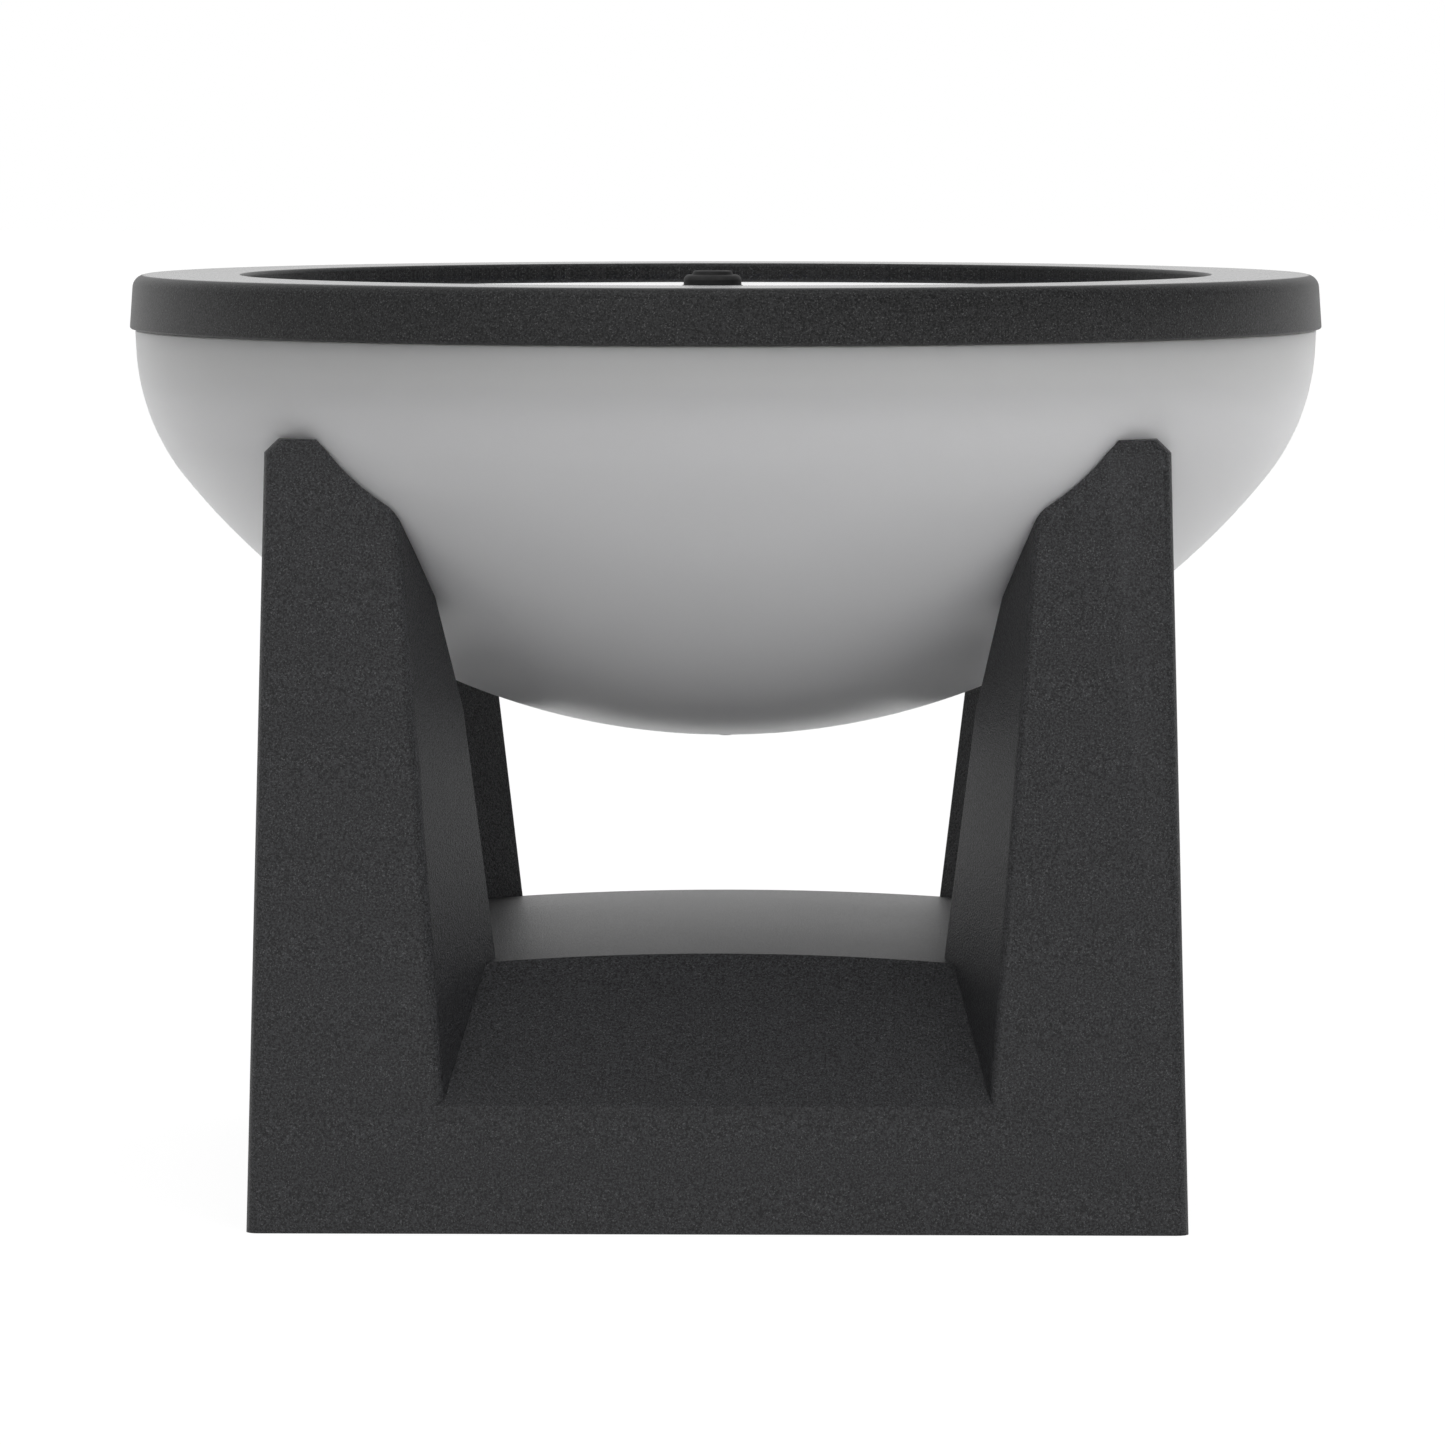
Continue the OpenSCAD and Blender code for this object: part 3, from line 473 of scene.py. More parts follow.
def open_effect(tree: Tree, ins: dict[str, float | None], outs: Sequence[str]) -> tuple[Nodes, Any, Any]:
    """Declares an effect's inputs and outputs and adds the nodes that hold them.

    Args:
        tree: The effect's empty tree.
        ins: Its inputs by name: a number's default, or None for a vector.
        outs: The names of its outputs, each a number.

    Returns:
        The tree's nodes, its inputs and its outputs.
    """
    for name, default in ins.items():
        kind = VECTOR if default is None else FLOAT
        socket = tree.interface.new_socket(name, in_out="INPUT", socket_type=kind)
        if default is not None:
            socket.default_value = default
    for name in outs:
        tree.interface.new_socket(name, in_out="OUTPUT", socket_type=FLOAT)
    nodes = Nodes(tree)
    return nodes, nodes.add("NodeGroupInput").outputs, nodes.add("NodeGroupOutput").inputs


class Effect(Enum):
    """The effects that several finishes share."""

    SPARK = "spark_grain"
    MOTTLE = "soft_mottle"
    DUST = "dust_specks"
    WEAR = "edge_wear"
    STRIPES = "fine_stripes"


class Effects:
    """Builds each shared effect once and hands it out."""

    def __init__(self) -> None:
        """Starts with no effect built."""
        self._built: dict[Effect, Tree] = {}
        self._makers: dict[Effect, Callable[[Tree], None]] = {
            Effect.SPARK: self._spark,
            Effect.MOTTLE: self._mottle,
            Effect.DUST: self._dust,
            Effect.WEAR: self._wear,
            Effect.STRIPES: self._stripes,
        }

    def use(self, nodes: Nodes, effect: Effect, **values: Any) -> Any:
        """Places an effect in a material.

        Args:
            nodes: The material's nodes.
            effect: Which effect.
            **values: Its inputs by name.

        Returns:
            The effect's outputs.
        """
        if effect not in self._built:
            tree = bpy.data.node_groups.new(effect.value, "ShaderNodeTree")
            self._makers[effect](tree)
            self._built[effect] = tree
        group = nodes.add("ShaderNodeGroup", node_tree=self._built[effect])
        return nodes.fill(group, **values).outputs

    @staticmethod
    def _spark(tree: Tree) -> None:
        """The fine pebbled grain of a spark-eroded mould: a height, bright flecks and a painted shade, dark
        in the hollows and light on the tops.

        Args:
            tree: The effect's empty tree.
        """
        n, ins, out = open_effect(
            tree, {"Place": None, "Scale": 2200.0, "Fleck": 0.62}, ("Height", "Flecks", "Shade")
        )
        place, scale, fleck = ins["Place"], ins["Scale"], ins["Fleck"]
        fine_scale = 2.3
        fine_share = 0.35
        fleck_scale = 1.35
        fleck_edge = 0.08
        coarse = n.noise(place, scale, 2.0, 0.55)
        fine = n.noise(place, n.times(scale, fine_scale), 1.0)
        height = n.plus(n.times(coarse, 1.0 - fine_share), n.times(fine, fine_share))
        n.join(n.span(height, 0.3, 0.7), out["Height"])
        speck = n.noise(place, n.times(scale, fleck_scale), 1.0, 0.6)
        n.join(n.span(speck, fleck, n.plus(fleck, fleck_edge)), out["Flecks"])
        # Painted shade and painted light: the tone follows the height, darker in the hollows and lighter on
        # the tops.
        n.join(n.span(height, 0.38, 0.62), out["Shade"])

    @staticmethod
    def _mottle(tree: Tree) -> None:
        """Broad and middling variation, as handling and moulding leave.

        Args:
            tree: The effect's empty tree.
        """
        n, ins, out = open_effect(tree, {"Place": None, "Scale": 30.0}, ("Broad", "Middle"))
        middle_scale = 7.0
        broad = n.noise(ins["Place"], ins["Scale"], 3.0)
        n.join(n.span(broad, 0.3, 0.7), out["Broad"])
        middle = n.noise(ins["Place"], n.times(ins["Scale"], middle_scale), 3.0, 0.6)
        n.join(n.span(middle, 0.35, 0.65), out["Middle"])

    @staticmethod
    def _dust(tree: Tree) -> None:
        """Sparse specks of dust: a mask that is 1 on a speck.

        Args:
            tree: The effect's empty tree.
        """
        n, ins, out = open_effect(
            tree, {"Place": None, "Scale": 90.0, "Share": 0.1, "Size": 0.03}, ("Specks",)
        )
        smallest = 0.5
        cells = n.cells(ins["Place"], ins["Scale"]).outputs
        chance = n.channels(cells["Color"])
        chosen = n.math("LESS_THAN", chance[0], ins["Share"])
        size = n.times(ins["Size"], n.plus(chance[1], smallest))
        near = n.math("LESS_THAN", cells["Distance"], size)
        n.join(n.times(chosen, near), out["Specks"])

    @staticmethod
    def _wear(tree: Tree) -> None:
        """A mask along outer edges, broken up by noise.

        Args:
            tree: The effect's empty tree.
        """
        n, ins, out = open_effect(tree, {"Place": None, "Scale": 400.0}, ("Edges",))
        edges = n.add("ShaderNodeAttribute", attribute_name=WORN).outputs["Fac"]
        broken = n.span(n.noise(ins["Place"], ins["Scale"], 2.0, 0.6), 0.2, 0.6)
        n.join(n.times(edges, broken), out["Edges"])

    @staticmethod
    def _stripes(tree: Tree) -> None:
        """Thin even lines across one direction.

        Args:
            tree: The effect's empty tree.
        """
        n, ins, out = open_effect(tree, {"Along": 0.0, "Pitch": 2.0 * MM, "Width": 0.1}, ("Lines",))
        core = 0.6
        turn = n.math("FRACT", n.over(ins["Along"], ins["Pitch"]))
        away = n.math("ABSOLUTE", n.minus(turn, 0.5))
        half = n.times(ins["Width"], 0.5)
        n.join(n.span(away, half, n.times(half, core)), out["Lines"])


EFFECTS = Effects()


# ------------------------------------------------------------------- finishes


@dataclass(frozen=True)
class Finish:
    """A finish: its name and the record's slot that it stands for."""

    name: str
    slot: str

    def build(self) -> bpy.types.Material:
        """Makes the material, or finds the one already made.

        Returns:
            The material.
        """
        made = bpy.data.materials.get(self.name)
        if made is not None:
            return made
        material = bpy.data.materials.new(self.name)
        nodes = Nodes.fresh(material)
        shader = nodes.add("ShaderNodeBsdfPrincipled")
        nodes.fill(nodes.add("ShaderNodeOutputMaterial"), Surface=shader.outputs[0])
        self.dress(nodes, shader)
        return material

    def dress(self, nodes: Nodes, shader: Node) -> None:
        """Sets the shader up; each finish has its own way."""
        raise NotImplementedError


@dataclass(frozen=True)
class Moulded(Finish):
    """Moulded plastic or rubber: grain with painted shade in its hollows and painted light on its tops,
    flecks, mottle, worn edges and a little dust.

    Above the height smooth_above the grain and the roughness fall to the share smooth_share.
    """

    colour: Colour
    roughness: float = 0.5
    specular: float = 0.4
    grain: float = 2200.0
    depth: float = 0.04
    bump: float = 0.5
    fleck: float = 0.0
    # How far the grain's painted shade and painted light darken and lighten the colour.
    shade: float = 0.2
    wear: float = 0.15
    dust: float = 0.0
    dust_colour: Colour = (0.5, 0.5, 0.48)
    coat: float = 0.0
    coat_roughness: float = 0.12
    smooth_above: float = 1.0
    smooth_blend: float = 0.1 * MM
    smooth_share: float = 0.45
    mottle: float = 28.0
    tone_change: float = 0.02
    gloss_change: float = 0.015
    pale_times: float = 2.2
    pale_plus: float = 0.03

    def dress(self, nodes: Nodes, shader: Node) -> None:
        """Builds colour, roughness and bump from the shared effects.

        Args:
            nodes: The material's nodes.
            shader: Its shader.
        """
        place = nodes.place()
        spark = EFFECTS.use(nodes, Effect.SPARK, Place=place, Scale=self.grain)
        broad = EFFECTS.use(nodes, Effect.MOTTLE, Place=place, Scale=self.mottle)["Broad"]
        worn = EFFECTS.use(nodes, Effect.WEAR, Place=place)["Edges"]
        # Painted shade in the grain's hollows and painted light on its tops: the tone follows the grain's
        # height.
        dark, light = opaque(self.colour, 1 - self.shade), opaque(self.colour, 1 + self.shade)
        pale = opaque(self.colour, self.pale_times, self.pale_plus)
        colour = nodes.mix(spark["Shade"], dark, light)
        colour = nodes.mix(1.0, colour, nodes.vary(broad, 1.0, self.tone_change), "MULTIPLY")
        colour = nodes.mix(nodes.times(spark["Flecks"], self.fleck), colour, pale)
        colour = nodes.mix(nodes.times(worn, self.wear), colour, pale)
        if self.dust > 0.0:
            specks = EFFECTS.use(nodes, Effect.DUST, Place=place, Share=self.dust)["Specks"]
            colour = nodes.mix(specks, colour, opaque(self.dust_colour))
        smooth_from = self.smooth_above - self.smooth_blend
        grained = nodes.span(nodes.axes(place)["Z"], smooth_from, self.smooth_above, 1.0, self.smooth_share)
        rough = nodes.times(nodes.vary(broad, self.roughness, self.gloss_change), grained)
        normal = nodes.bump(nodes.times(spark["Height"], grained), self.bump, self.depth * MM)
        nodes.fill(shader, Base_Color=colour, Roughness=rough, Normal=normal,
                   Specular_IOR_Level=self.specular, Coat_Weight=self.coat,
                   Coat_Roughness=self.coat_roughness)


@dataclass(frozen=True)
class Opal(Finish):
    """Milky plastic, with painted shade in the band that the neck backs and painted light towards its lowest
    part.
    """

    colour: Colour
    roughness: float = 0.3
    scatter: float = 14.0
    spread: Colour = (1.0, 1.0, 0.97)
    index: float = 1.49
    # Painted shade: a band high on the wall is darkened in the colour.
    painted_shade_low: float = 125.0 * MM
    painted_shade_high: float = 140.0 * MM
    painted_shade_times: float = 0.5
    # Painted light: the colour is lighter towards the bowl's lowest part.
    painted_light_start: float = 74.0 * MM
    painted_light_fade: float = 26.0 * MM
    painted_light_colour: Colour = (0.98, 0.98, 0.98)
    mottle: float = 14.0
    dim: float = 0.992
    speck_colour: Colour = (0.09, 0.085, 0.08)
    speck_scale: float = 34.0
    speck_share: float = 0.035
    speck_size: float = 0.012
    gloss_change: float = 0.03
    haze: float = 900.0
    haze_bump: float = 0.1
    haze_depth: float = 0.006

    def dress(self, nodes: Nodes, shader: Node) -> None:
        """Scatters light inside the wall and keeps a soft gloss outside.

        Args:
            nodes: The material's nodes.
            shader: Its shader.
        """
        place = nodes.place()
        height = nodes.axes(place)["Z"]
        broad = EFFECTS.use(nodes, Effect.MOTTLE, Place=place, Scale=self.mottle)["Broad"]
        specks = EFFECTS.use(nodes, Effect.DUST, Place=place, Scale=self.speck_scale, Share=self.speck_share,
                             Size=self.speck_size)["Specks"]
        colour = nodes.mix(broad, opaque(self.colour, self.dim), opaque(self.colour))
        # Painted shade: the band that the neck backs is darkened in the colour.
        band = nodes.span(height, self.painted_shade_low, self.painted_shade_high)
        colour = nodes.mix(band, colour, opaque(self.colour, self.painted_shade_times))
        # Painted light: the colour is lightened towards the bowl's lowest part.
        painted_light_mask = nodes.span(height, self.painted_light_start, self.painted_light_start + self.painted_light_fade, 1.0, 0.0)
        colour = nodes.mix(painted_light_mask, colour, opaque(self.painted_light_colour))
        colour = nodes.mix(specks, colour, opaque(self.speck_colour))
        rough = nodes.vary(nodes.noise(place, 60.0, 1.0, 0.4), self.roughness, self.gloss_change, 0.2, 0.8)
        normal = nodes.bump(nodes.noise(place, self.haze), self.haze_bump, self.haze_depth * MM)
        nodes.fill(shader, Base_Color=colour, Roughness=rough, Normal=normal, IOR=self.index,
                   Subsurface_Weight=1.0, Subsurface_Radius=self.spread, Subsurface_Scale=self.scatter * MM)


@dataclass(frozen=True)
class Resin(Finish):
    """Clear glossy resin with specks of dust on it."""

    tint: Colour = (0.97, 0.98, 1.0)
    index: float = 1.5
    dust_colour: Colour = (0.4, 0.4, 0.38)
    dust_roughness: float = 0.6
    dust_scale: float = 120.0
    dust_share: float = 0.06
    dust_size: float = 0.045

    def dress(self, nodes: Nodes, shader: Node) -> None:
        """Lets light through everywhere and roughens the specks.

        Args:
            nodes: The material's nodes.
            shader: Its shader.
        """
        specks = EFFECTS.use(nodes, Effect.DUST, Place=nodes.place(), Scale=self.dust_scale,
                             Share=self.dust_share, Size=self.dust_size)["Specks"]
        colour = nodes.mix(specks, opaque(self.tint), opaque(self.dust_colour))
        nodes.fill(shader, Base_Color=colour, Roughness=nodes.times(specks, self.dust_roughness),
                   IOR=self.index, Transmission_Weight=1.0)


@dataclass(frozen=True)
class Silicon(Finish):
    """Solar cells: dark blue crystal grain crossed by fine printed fingers."""

    crystal: float = 150.0
    darkest: Colour = (0.003, 0.006, 0.024)
    lightest: Colour = (0.008, 0.016, 0.055)
    finger_colour: Colour = (0.1, 0.104, 0.112)
    finger_pitch: float = 2.0 * MM
    finger_width: float = 0.09
    finger_metal: float = 0.4
    finger_bump: float = 0.3
    finger_depth: float = 0.02
    roughness_low: float = 0.3
    roughness_high: float = 0.45

    def dress(self, nodes: Nodes, shader: Node) -> None:
        """Gives each crystal its tone and lays the fingers over them.

        Args:
            nodes: The material's nodes.
            shader: Its shader.
        """
        place = nodes.place()
        tone = nodes.channels(nodes.cells(place, self.crystal).outputs["Color"])
        fingers = EFFECTS.use(nodes, Effect.STRIPES, Along=nodes.axes(place)["Y"], Pitch=self.finger_pitch,
                              Width=self.finger_width)["Lines"]
        colour = nodes.mix(tone[0], opaque(self.darkest), opaque(self.lightest))
        colour = nodes.mix(fingers, colour, opaque(self.finger_colour))
        rough = nodes.span(tone[1], 0.0, 1.0, self.roughness_low, self.roughness_high)
        normal = nodes.bump(fingers, self.finger_bump, self.finger_depth * MM)
        nodes.fill(shader, Base_Color=colour, Metallic=nodes.times(fingers, self.finger_metal),
                   Roughness=rough, Normal=normal, Specular_IOR_Level=0.0)


@dataclass(frozen=True)
class Metal(Finish):
    """Plated steel: mottled plating over a fine grain, brighter on its worn edges."""

    colour: Colour
    roughness: float = 0.3
    mottle: float = 160.0
    dull: float = 0.82
    wear: float = 0.3
    bright: Colour = (0.8, 0.8, 0.78)
    gloss_change: float = 0.2
    grain: float = 3000.0
    bump: float = 0.15
    depth: float = 0.01

    def dress(self, nodes: Nodes, shader: Node) -> None:
        """Builds the plating, its wear and its grain.

        Args:
            nodes: The material's nodes.
            shader: Its shader.
        """
        place = nodes.place()
        mottle = EFFECTS.use(nodes, Effect.MOTTLE, Place=place, Scale=self.mottle)
        worn = EFFECTS.use(nodes, Effect.WEAR, Place=place)["Edges"]
        colour = nodes.mix(mottle["Middle"], opaque(self.colour, self.dull), opaque(self.colour))
        colour = nodes.mix(nodes.times(worn, self.wear), colour, opaque(self.bright))
        rough = nodes.vary(mottle["Broad"], self.roughness, self.gloss_change)
        normal = nodes.bump(nodes.noise(place, self.grain), self.bump, self.depth * MM)
        nodes.fill(shader, Base_Color=colour, Roughness=rough, Normal=normal, Metallic=1.0)


@dataclass(frozen=True)
class Circuit(Finish):
    """Solder mask with the tracks under it as a faint lighter pattern of bands."""

    colour: Colour
    pitch_across: float = 2.54 * MM
    width_across: float = 0.22
    pitch_along: float = 5.08 * MM
    width_along: float = 0.12
    patches: float = 120.0
    track: float = 1.6
    bump: float = 0.4
    depth: float = 0.03
    mottle: float = 60.0
    roughness_low: float = 0.3
    roughness_high: float = 0.42

    def dress(self, nodes: Nodes, shader: Node) -> None:
        """Runs the tracks one way or the other, patch by patch.

        Args:
            nodes: The material's nodes.
            shader: Its shader.
        """
        place = nodes.place()
        axes = nodes.axes(place)
        across = EFFECTS.use(nodes, Effect.STRIPES, Along=axes["X"], Pitch=self.pitch_across,
                             Width=self.width_across)["Lines"]
        along = EFFECTS.use(nodes, Effect.STRIPES, Along=axes["Y"], Pitch=self.pitch_along,
                            Width=self.width_along)["Lines"]
        choice = nodes.span(nodes.noise(place, self.patches, 0.0), 0.48, 0.52)
        tracks = nodes.channels(nodes.mix(choice, across, along))[0]
        broad = EFFECTS.use(nodes, Effect.MOTTLE, Place=place, Scale=self.mottle)["Broad"]
        colour = nodes.mix(tracks, opaque(self.colour), opaque(self.colour, self.track))
        rough = nodes.span(broad, 0.0, 1.0, self.roughness_low, self.roughness_high)
        normal = nodes.bump(tracks, self.bump, self.depth * MM)
        nodes.fill(shader, Base_Color=colour, Roughness=rough, Normal=normal)


STAND_BLACK = Moulded(
    "stand_spark_black", "black_textured_plastic", (0.0222, 0.0225, 0.0242), roughness=0.38, specular=0.28,
    grain=2800.0, depth=0.06, bump=1.0, fleck=1.0, shade=0.7, dust=0.01,
)
RING_BLACK = Moulded(
    "ring_spark_black", "black_plastic", (0.022, 0.0222, 0.0228), roughness=0.4, specular=0.15,
    grain=2900.0, depth=0.02, bump=1.0, fleck=1.0, shade=0.55, dust=0.01, smooth_above=152.1 * MM,
)
OPAL = Opal("opal_bowl", "opal_plastic", (0.94, 0.942, 0.942))
RUBBER = Moulded(
    "button_rubber", "black_rubber", (0.012, 0.012, 0.0122), roughness=0.62, specular=0.3,
    grain=5200.0, depth=0.015, bump=0.3, shade=0.15, wear=0.3, dust=0.12,
)
FOAM = Moulded(
    "tape_foam", "foam_tape", (0.72, 0.72, 0.7), roughness=0.9, specular=0.2, grain=3200.0, depth=0.08,
)
CELLS = Silicon("solar_cells", "solar_silicon")
RESIN = Resin("panel_resin", "clear_resin")
WHITE = Moulded(
    "tray_white", "white_plastic", (0.82, 0.82, 0.81), roughness=0.42, specular=0.5,
    grain=3000.0, depth=0.006, bump=0.3, shade=0.03, wear=0.05,
)
GREEN_BOARD = Circuit("green_board", "circuit_board", (0.02, 0.13, 0.06))
WHITE_BOARD = Circuit("lamp_board_mask", "white_board", (0.8, 0.8, 0.78))
PHOSPHOR = Moulded(
    "phosphor_yellow", "lamp_phosphor", (0.85, 0.66, 0.2), roughness=0.35, specular=0.5, depth=0.01,
)
BLOCK_BLACK = Moulded(
    "black_casings", "component_black", (0.025, 0.025, 0.027), roughness=0.45, specular=0.45,
    grain=4000.0, depth=0.02,
)
BACKING = Moulded(
    "panel_backing", "component_black", (0.012, 0.012, 0.014), roughness=0.6, specular=0.0,
    grain=2600.0, depth=0.01,
)
SLEEVE = Moulded(
    "battery_sleeve", "battery_wrap", (0.1, 0.24, 0.4), roughness=0.25, specular=0.5,
    grain=1500.0, depth=0.01, bump=0.2, shade=0.06, wear=0.1, coat=0.3,
)
ZINC = Metal("zinc_screws", "zinc_steel", (0.6, 0.6, 0.57))
NICKEL = Metal("nickel_contacts", "spring_steel", (0.68, 0.67, 0.64), roughness=0.22)
TINNED = Moulded(
    "tinned_ribbon", "spring_steel", (0.1, 0.101, 0.104), roughness=0.6, specular=0.0,
    depth=0.006, shade=0.08,
)
RED_LEAD, BLACK_LEAD, WHITE_LEAD = (
    Moulded(f"lead_{hue}", f"{hue}_lead", colour, roughness=0.35, depth=0.006, shade=shade)
    for hue, colour, shade in (
        ("red", (0.5, 0.03, 0.025), 0.05),
        ("black", (0.02, 0.02, 0.02), 0.05),
        ("white", (0.78, 0.78, 0.74), 0.03),
    )
)


def finish_piece(obj: Object, body: Body, finish: Finish, *nodes: str) -> None:
    """Dresses a piece, sets it riding and hides the frame nodes that it stands for.

    Args:
        obj: The piece, in place.
        body: The body that it moves with.
        finish: Its finish.
        *nodes: The frame nodes that it replaces.
    """
    obj.data.materials.clear()
    obj.data.materials.append(finish.build())
    mark_edges(obj)
    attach(obj, body.value)
    if nodes:
        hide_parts(*nodes)
    LOG.info("%s rides on %s in %s", obj.name, body.value, finish.name)


# ------------------------------------------------------------ geometry nodes


class GeometryTree:
    """A Geometry Nodes tree that is run once on a small host and made a plain mesh."""

    def __init__(self, name: str) -> None:
        """Starts a tree with a geometry output.

        Args:
            name: The name of the tree and of the piece that it makes.
        """
        self.name = name
        self.tree = bpy.data.node_groups.new(name, "GeometryNodeTree")
        self.nodes = Nodes(self.tree)
        self.tree.interface.new_socket("Geometry", in_out="OUTPUT", socket_type="NodeSocketGeometry")
        self.values: dict[str, float | int] = {}

    def inputs(self, **values: float | int) -> Any:
        """Declares named inputs with their values.

        Args:
            **values: Each input's value.

        Returns:
            The inputs' sockets by name.
        """
        for name, value in values.items():
            kind = "NodeSocketInt" if isinstance(value, int) else FLOAT
            socket = self.tree.interface.new_socket(name, in_out="INPUT", socket_type=kind)
            self.values[socket.identifier] = value
        return self.nodes.add("NodeGroupInput").outputs

    def repeat(self, points: Node, shape: Socket, **settings: Any) -> Socket:
        """Sets a shape on each point."""
        copies = self.nodes.add("GeometryNodeInstanceOnPoints")
        return self.nodes.fill(copies, Points=points.outputs[0], Instance=shape, **settings).outputs[0]

    def run(self, geometry: Socket, material: bpy.types.Material) -> Object:
        """Realizes the geometry, gives it its material and makes it a plain mesh.

        Args:
            geometry: The geometry.
            material: Its material.

        Returns:
            The piece.
        """
        n = self.nodes
        real = n.fill(n.add("GeometryNodeRealizeInstances"), Geometry=geometry)
        coat = n.fill(n.add("GeometryNodeSetMaterial"), Geometry=real.outputs[0], Material=material)
        n.fill(n.add("NodeGroupOutput"), Geometry=coat.outputs[0])
        obj = add_object(self.name, bpy.data.meshes.new(self.name))
        step = obj.modifiers.new("shape", "NODES")
        step.node_group = self.tree
        for identifier, value in self.values.items():
            step[identifier] = value
        return settle(obj)


def circle_of(name: str, source: Object, count: int, radius: float, start: float, finish: Finish) -> Object:
    """Repeats a small mesh evenly round the axis.

    Args:
        name: Name of the new piece.
        source: The mesh to repeat, made at the origin and facing +X; it is removed.
        count: Number of copies.
        radius: Distance of each copy from the axis.
        start: Angle of the first copy, in degrees.
        finish: The copies' finish.

    Returns:
        The copies as one plain mesh.
    """
    tree = GeometryTree(name)
    n = tree.nodes
    ins = tree.inputs(Count=count, Radius=radius, Start=math.radians(start))
    share = n.over(n.add("GeometryNodeInputIndex").outputs[0], ins["Count"])
    angle = n.plus(n.times(share, 2 * math.pi), ins["Start"])
    spot = n.vector(X=n.times(n.math("COSINE", angle), ins["Radius"]),
                    Y=n.times(n.math("SINE", angle), ins["Radius"]))
    points = n.fill(n.add("GeometryNodePoints"), Count=ins["Count"], Position=spot)
    info = n.fill(n.add("GeometryNodeObjectInfo"), Object=source)
    copies = tree.repeat(points, info.outputs["Geometry"], Rotation=n.vector(Z=angle))
    made = tree.run(copies, finish.build())
    discard(source)
    return made


# ------------------------------------------------------------- sub-assemblies


@dataclass
class Stand:
    """The moulded stand, with the small radii that its mould gives every edge."""

    edge: float = 0.28 * MM
    edge_steps: int = 3
    flat_angle: float = 0.25
    bevel_angle: float = 27.0

    def build(self) -> None:
        """Rounds the frame's stand and dresses it."""
        mesh = cad_copy("stand")
        limit = math.radians(self.flat_angle)
        bmesh.ops.dissolve_limit(mesh, angle_limit=limit, verts=mesh.verts, edges=mesh.edges)
        soften(mesh, 180.0)
        obj = mesh_object(mesh, "stand_moulding")
        soft = obj.modifiers.new("edges", "BEVEL")
        soft.width = self.edge
        soft.segments = self.edge_steps
        soft.limit_method = "ANGLE"
        soft.angle_limit = math.radians(self.bevel_angle)
        soft.miter_outer = "MITER_ARC"
        soft.use_clamp_overlap = True
        flat = obj.modifiers.new("flat_faces", "WEIGHTED_NORMAL")
        flat.mode = "FACE_AREA"
        flat.weight = 100
        settle(obj)
        finish_piece(obj, Body.BASE, STAND_BLACK, "stand")


@dataclass
class Bowl:
    """The opal bowl with its neck and its moulding nub."""

    rim_radius: float = 99.1 * MM
    crown_radius: float = 116.5 * MM
    shoulder_radius: float = 37.0 * MM
    draft: float = 2.5
    wall_height: float = 3.1 * MM
    lift: float = 74.7 * MM
    wall: float = 2.2 * MM
    rim_edge: float = 0.25 * MM
    neck_step: float = 2.2 * MM
    neck_wall: float = 2.0 * MM
    neck_height: float = 4.75 * MM
    neck_lip: float = 5.75 * MM
    neck_clear: float = 0.3 * MM
    nub: float = 1.3 * MM
    nub_drop: float = 0.4 * MM
    nub_flat: float = 1.0 * MM
    nub_bevel: float = 0.2 * MM
    nub_joint: float = 0.175 * MM
    crown_steps: int = 48
    shoulder_steps: int = 24
    segments: int = 256
    nub_segments: int = 48

    def outline(self, grow: float) -> tuple[list[Point], float]:
        """Works out the outer face's outline.

        Args:
            grow: How far the outline is moved outwards.

        Returns:
            The outline from the pole to the rim, and the rim's height.
        """
        lean = math.radians(self.draft)
        reach = self.crown_radius - self.shoulder_radius
        arc_end = self.rim_radius - self.wall_height * math.tan(lean)
        turn = math.asin((arc_end - self.shoulder_radius * math.cos(lean)) / reach)
        crown_z = self.lift + self.crown_radius
        shoulder = (reach * math.sin(turn), crown_z - reach * math.cos(turn))
        rim_z = shoulder[1] - self.shoulder_radius * math.sin(lean) + self.wall_height
        join = -90.0 + math.degrees(turn)
        low = arc((0.0, crown_z), self.crown_radius + grow, -90.0, join, self.crown_steps)
        high = arc(shoulder, self.shoulder_radius + grow, join, -self.draft, self.shoulder_steps)
        low[0] = (0.0, low[0][1])
        return low + high[1:] + [(self.rim_radius + grow / math.cos(lean), rim_z)], rim_z

    def build(self) -> None:
        """Turns the bowl and its nub and dresses them."""
        outer, rim_z = self.outline(0.0)
        inner, _ = self.outline(-self.wall)
        neck = self.rim_radius - self.neck_step
        neck_inner = neck - self.neck_wall
        neck_top = rim_z + self.neck_height
        low_z = rim_z - self.neck_lip
        soft = self.rim_edge
        profile = outer[:-1] + arc((self.rim_radius - soft, rim_z - soft), soft, 0.0, 90.0, 3)
        profile += [(neck, rim_z), (neck, neck_top - soft), (neck - soft, neck_top)]
        profile += [(neck_inner, neck_top), (neck_inner, low_z)]
        profile += [point for point in reversed(inner) if point[1] < low_z - self.neck_clear]
        mesh = revolve(profile, self.segments, False)
        soften(mesh, 40.0)
        obj = mesh_object(mesh, "opal_bowl")
        carve(obj, [mesh_object(self._nub(), "nub")], Carve.ON)
        resoften(obj)
        finish_piece(obj, Body.BASE, OPAL, "diffuser_bowl")

    def _nub(self) -> Mesh:
        """Turns the nub under the bowl's lowest point.

        Returns:
            The nub, buried in half of the bowl's wall.
        """
        foot = self.lift - self.nub_drop
        seat = self.lift + self.wall / 2
        profile = [(0.0, foot), (self.nub_flat, foot), (self.nub, foot + self.nub_bevel),
                   (self.nub, self.lift + self.nub_joint), (self.nub, seat), (0.0, seat)]
        return revolve(profile, self.nub_segments, False)


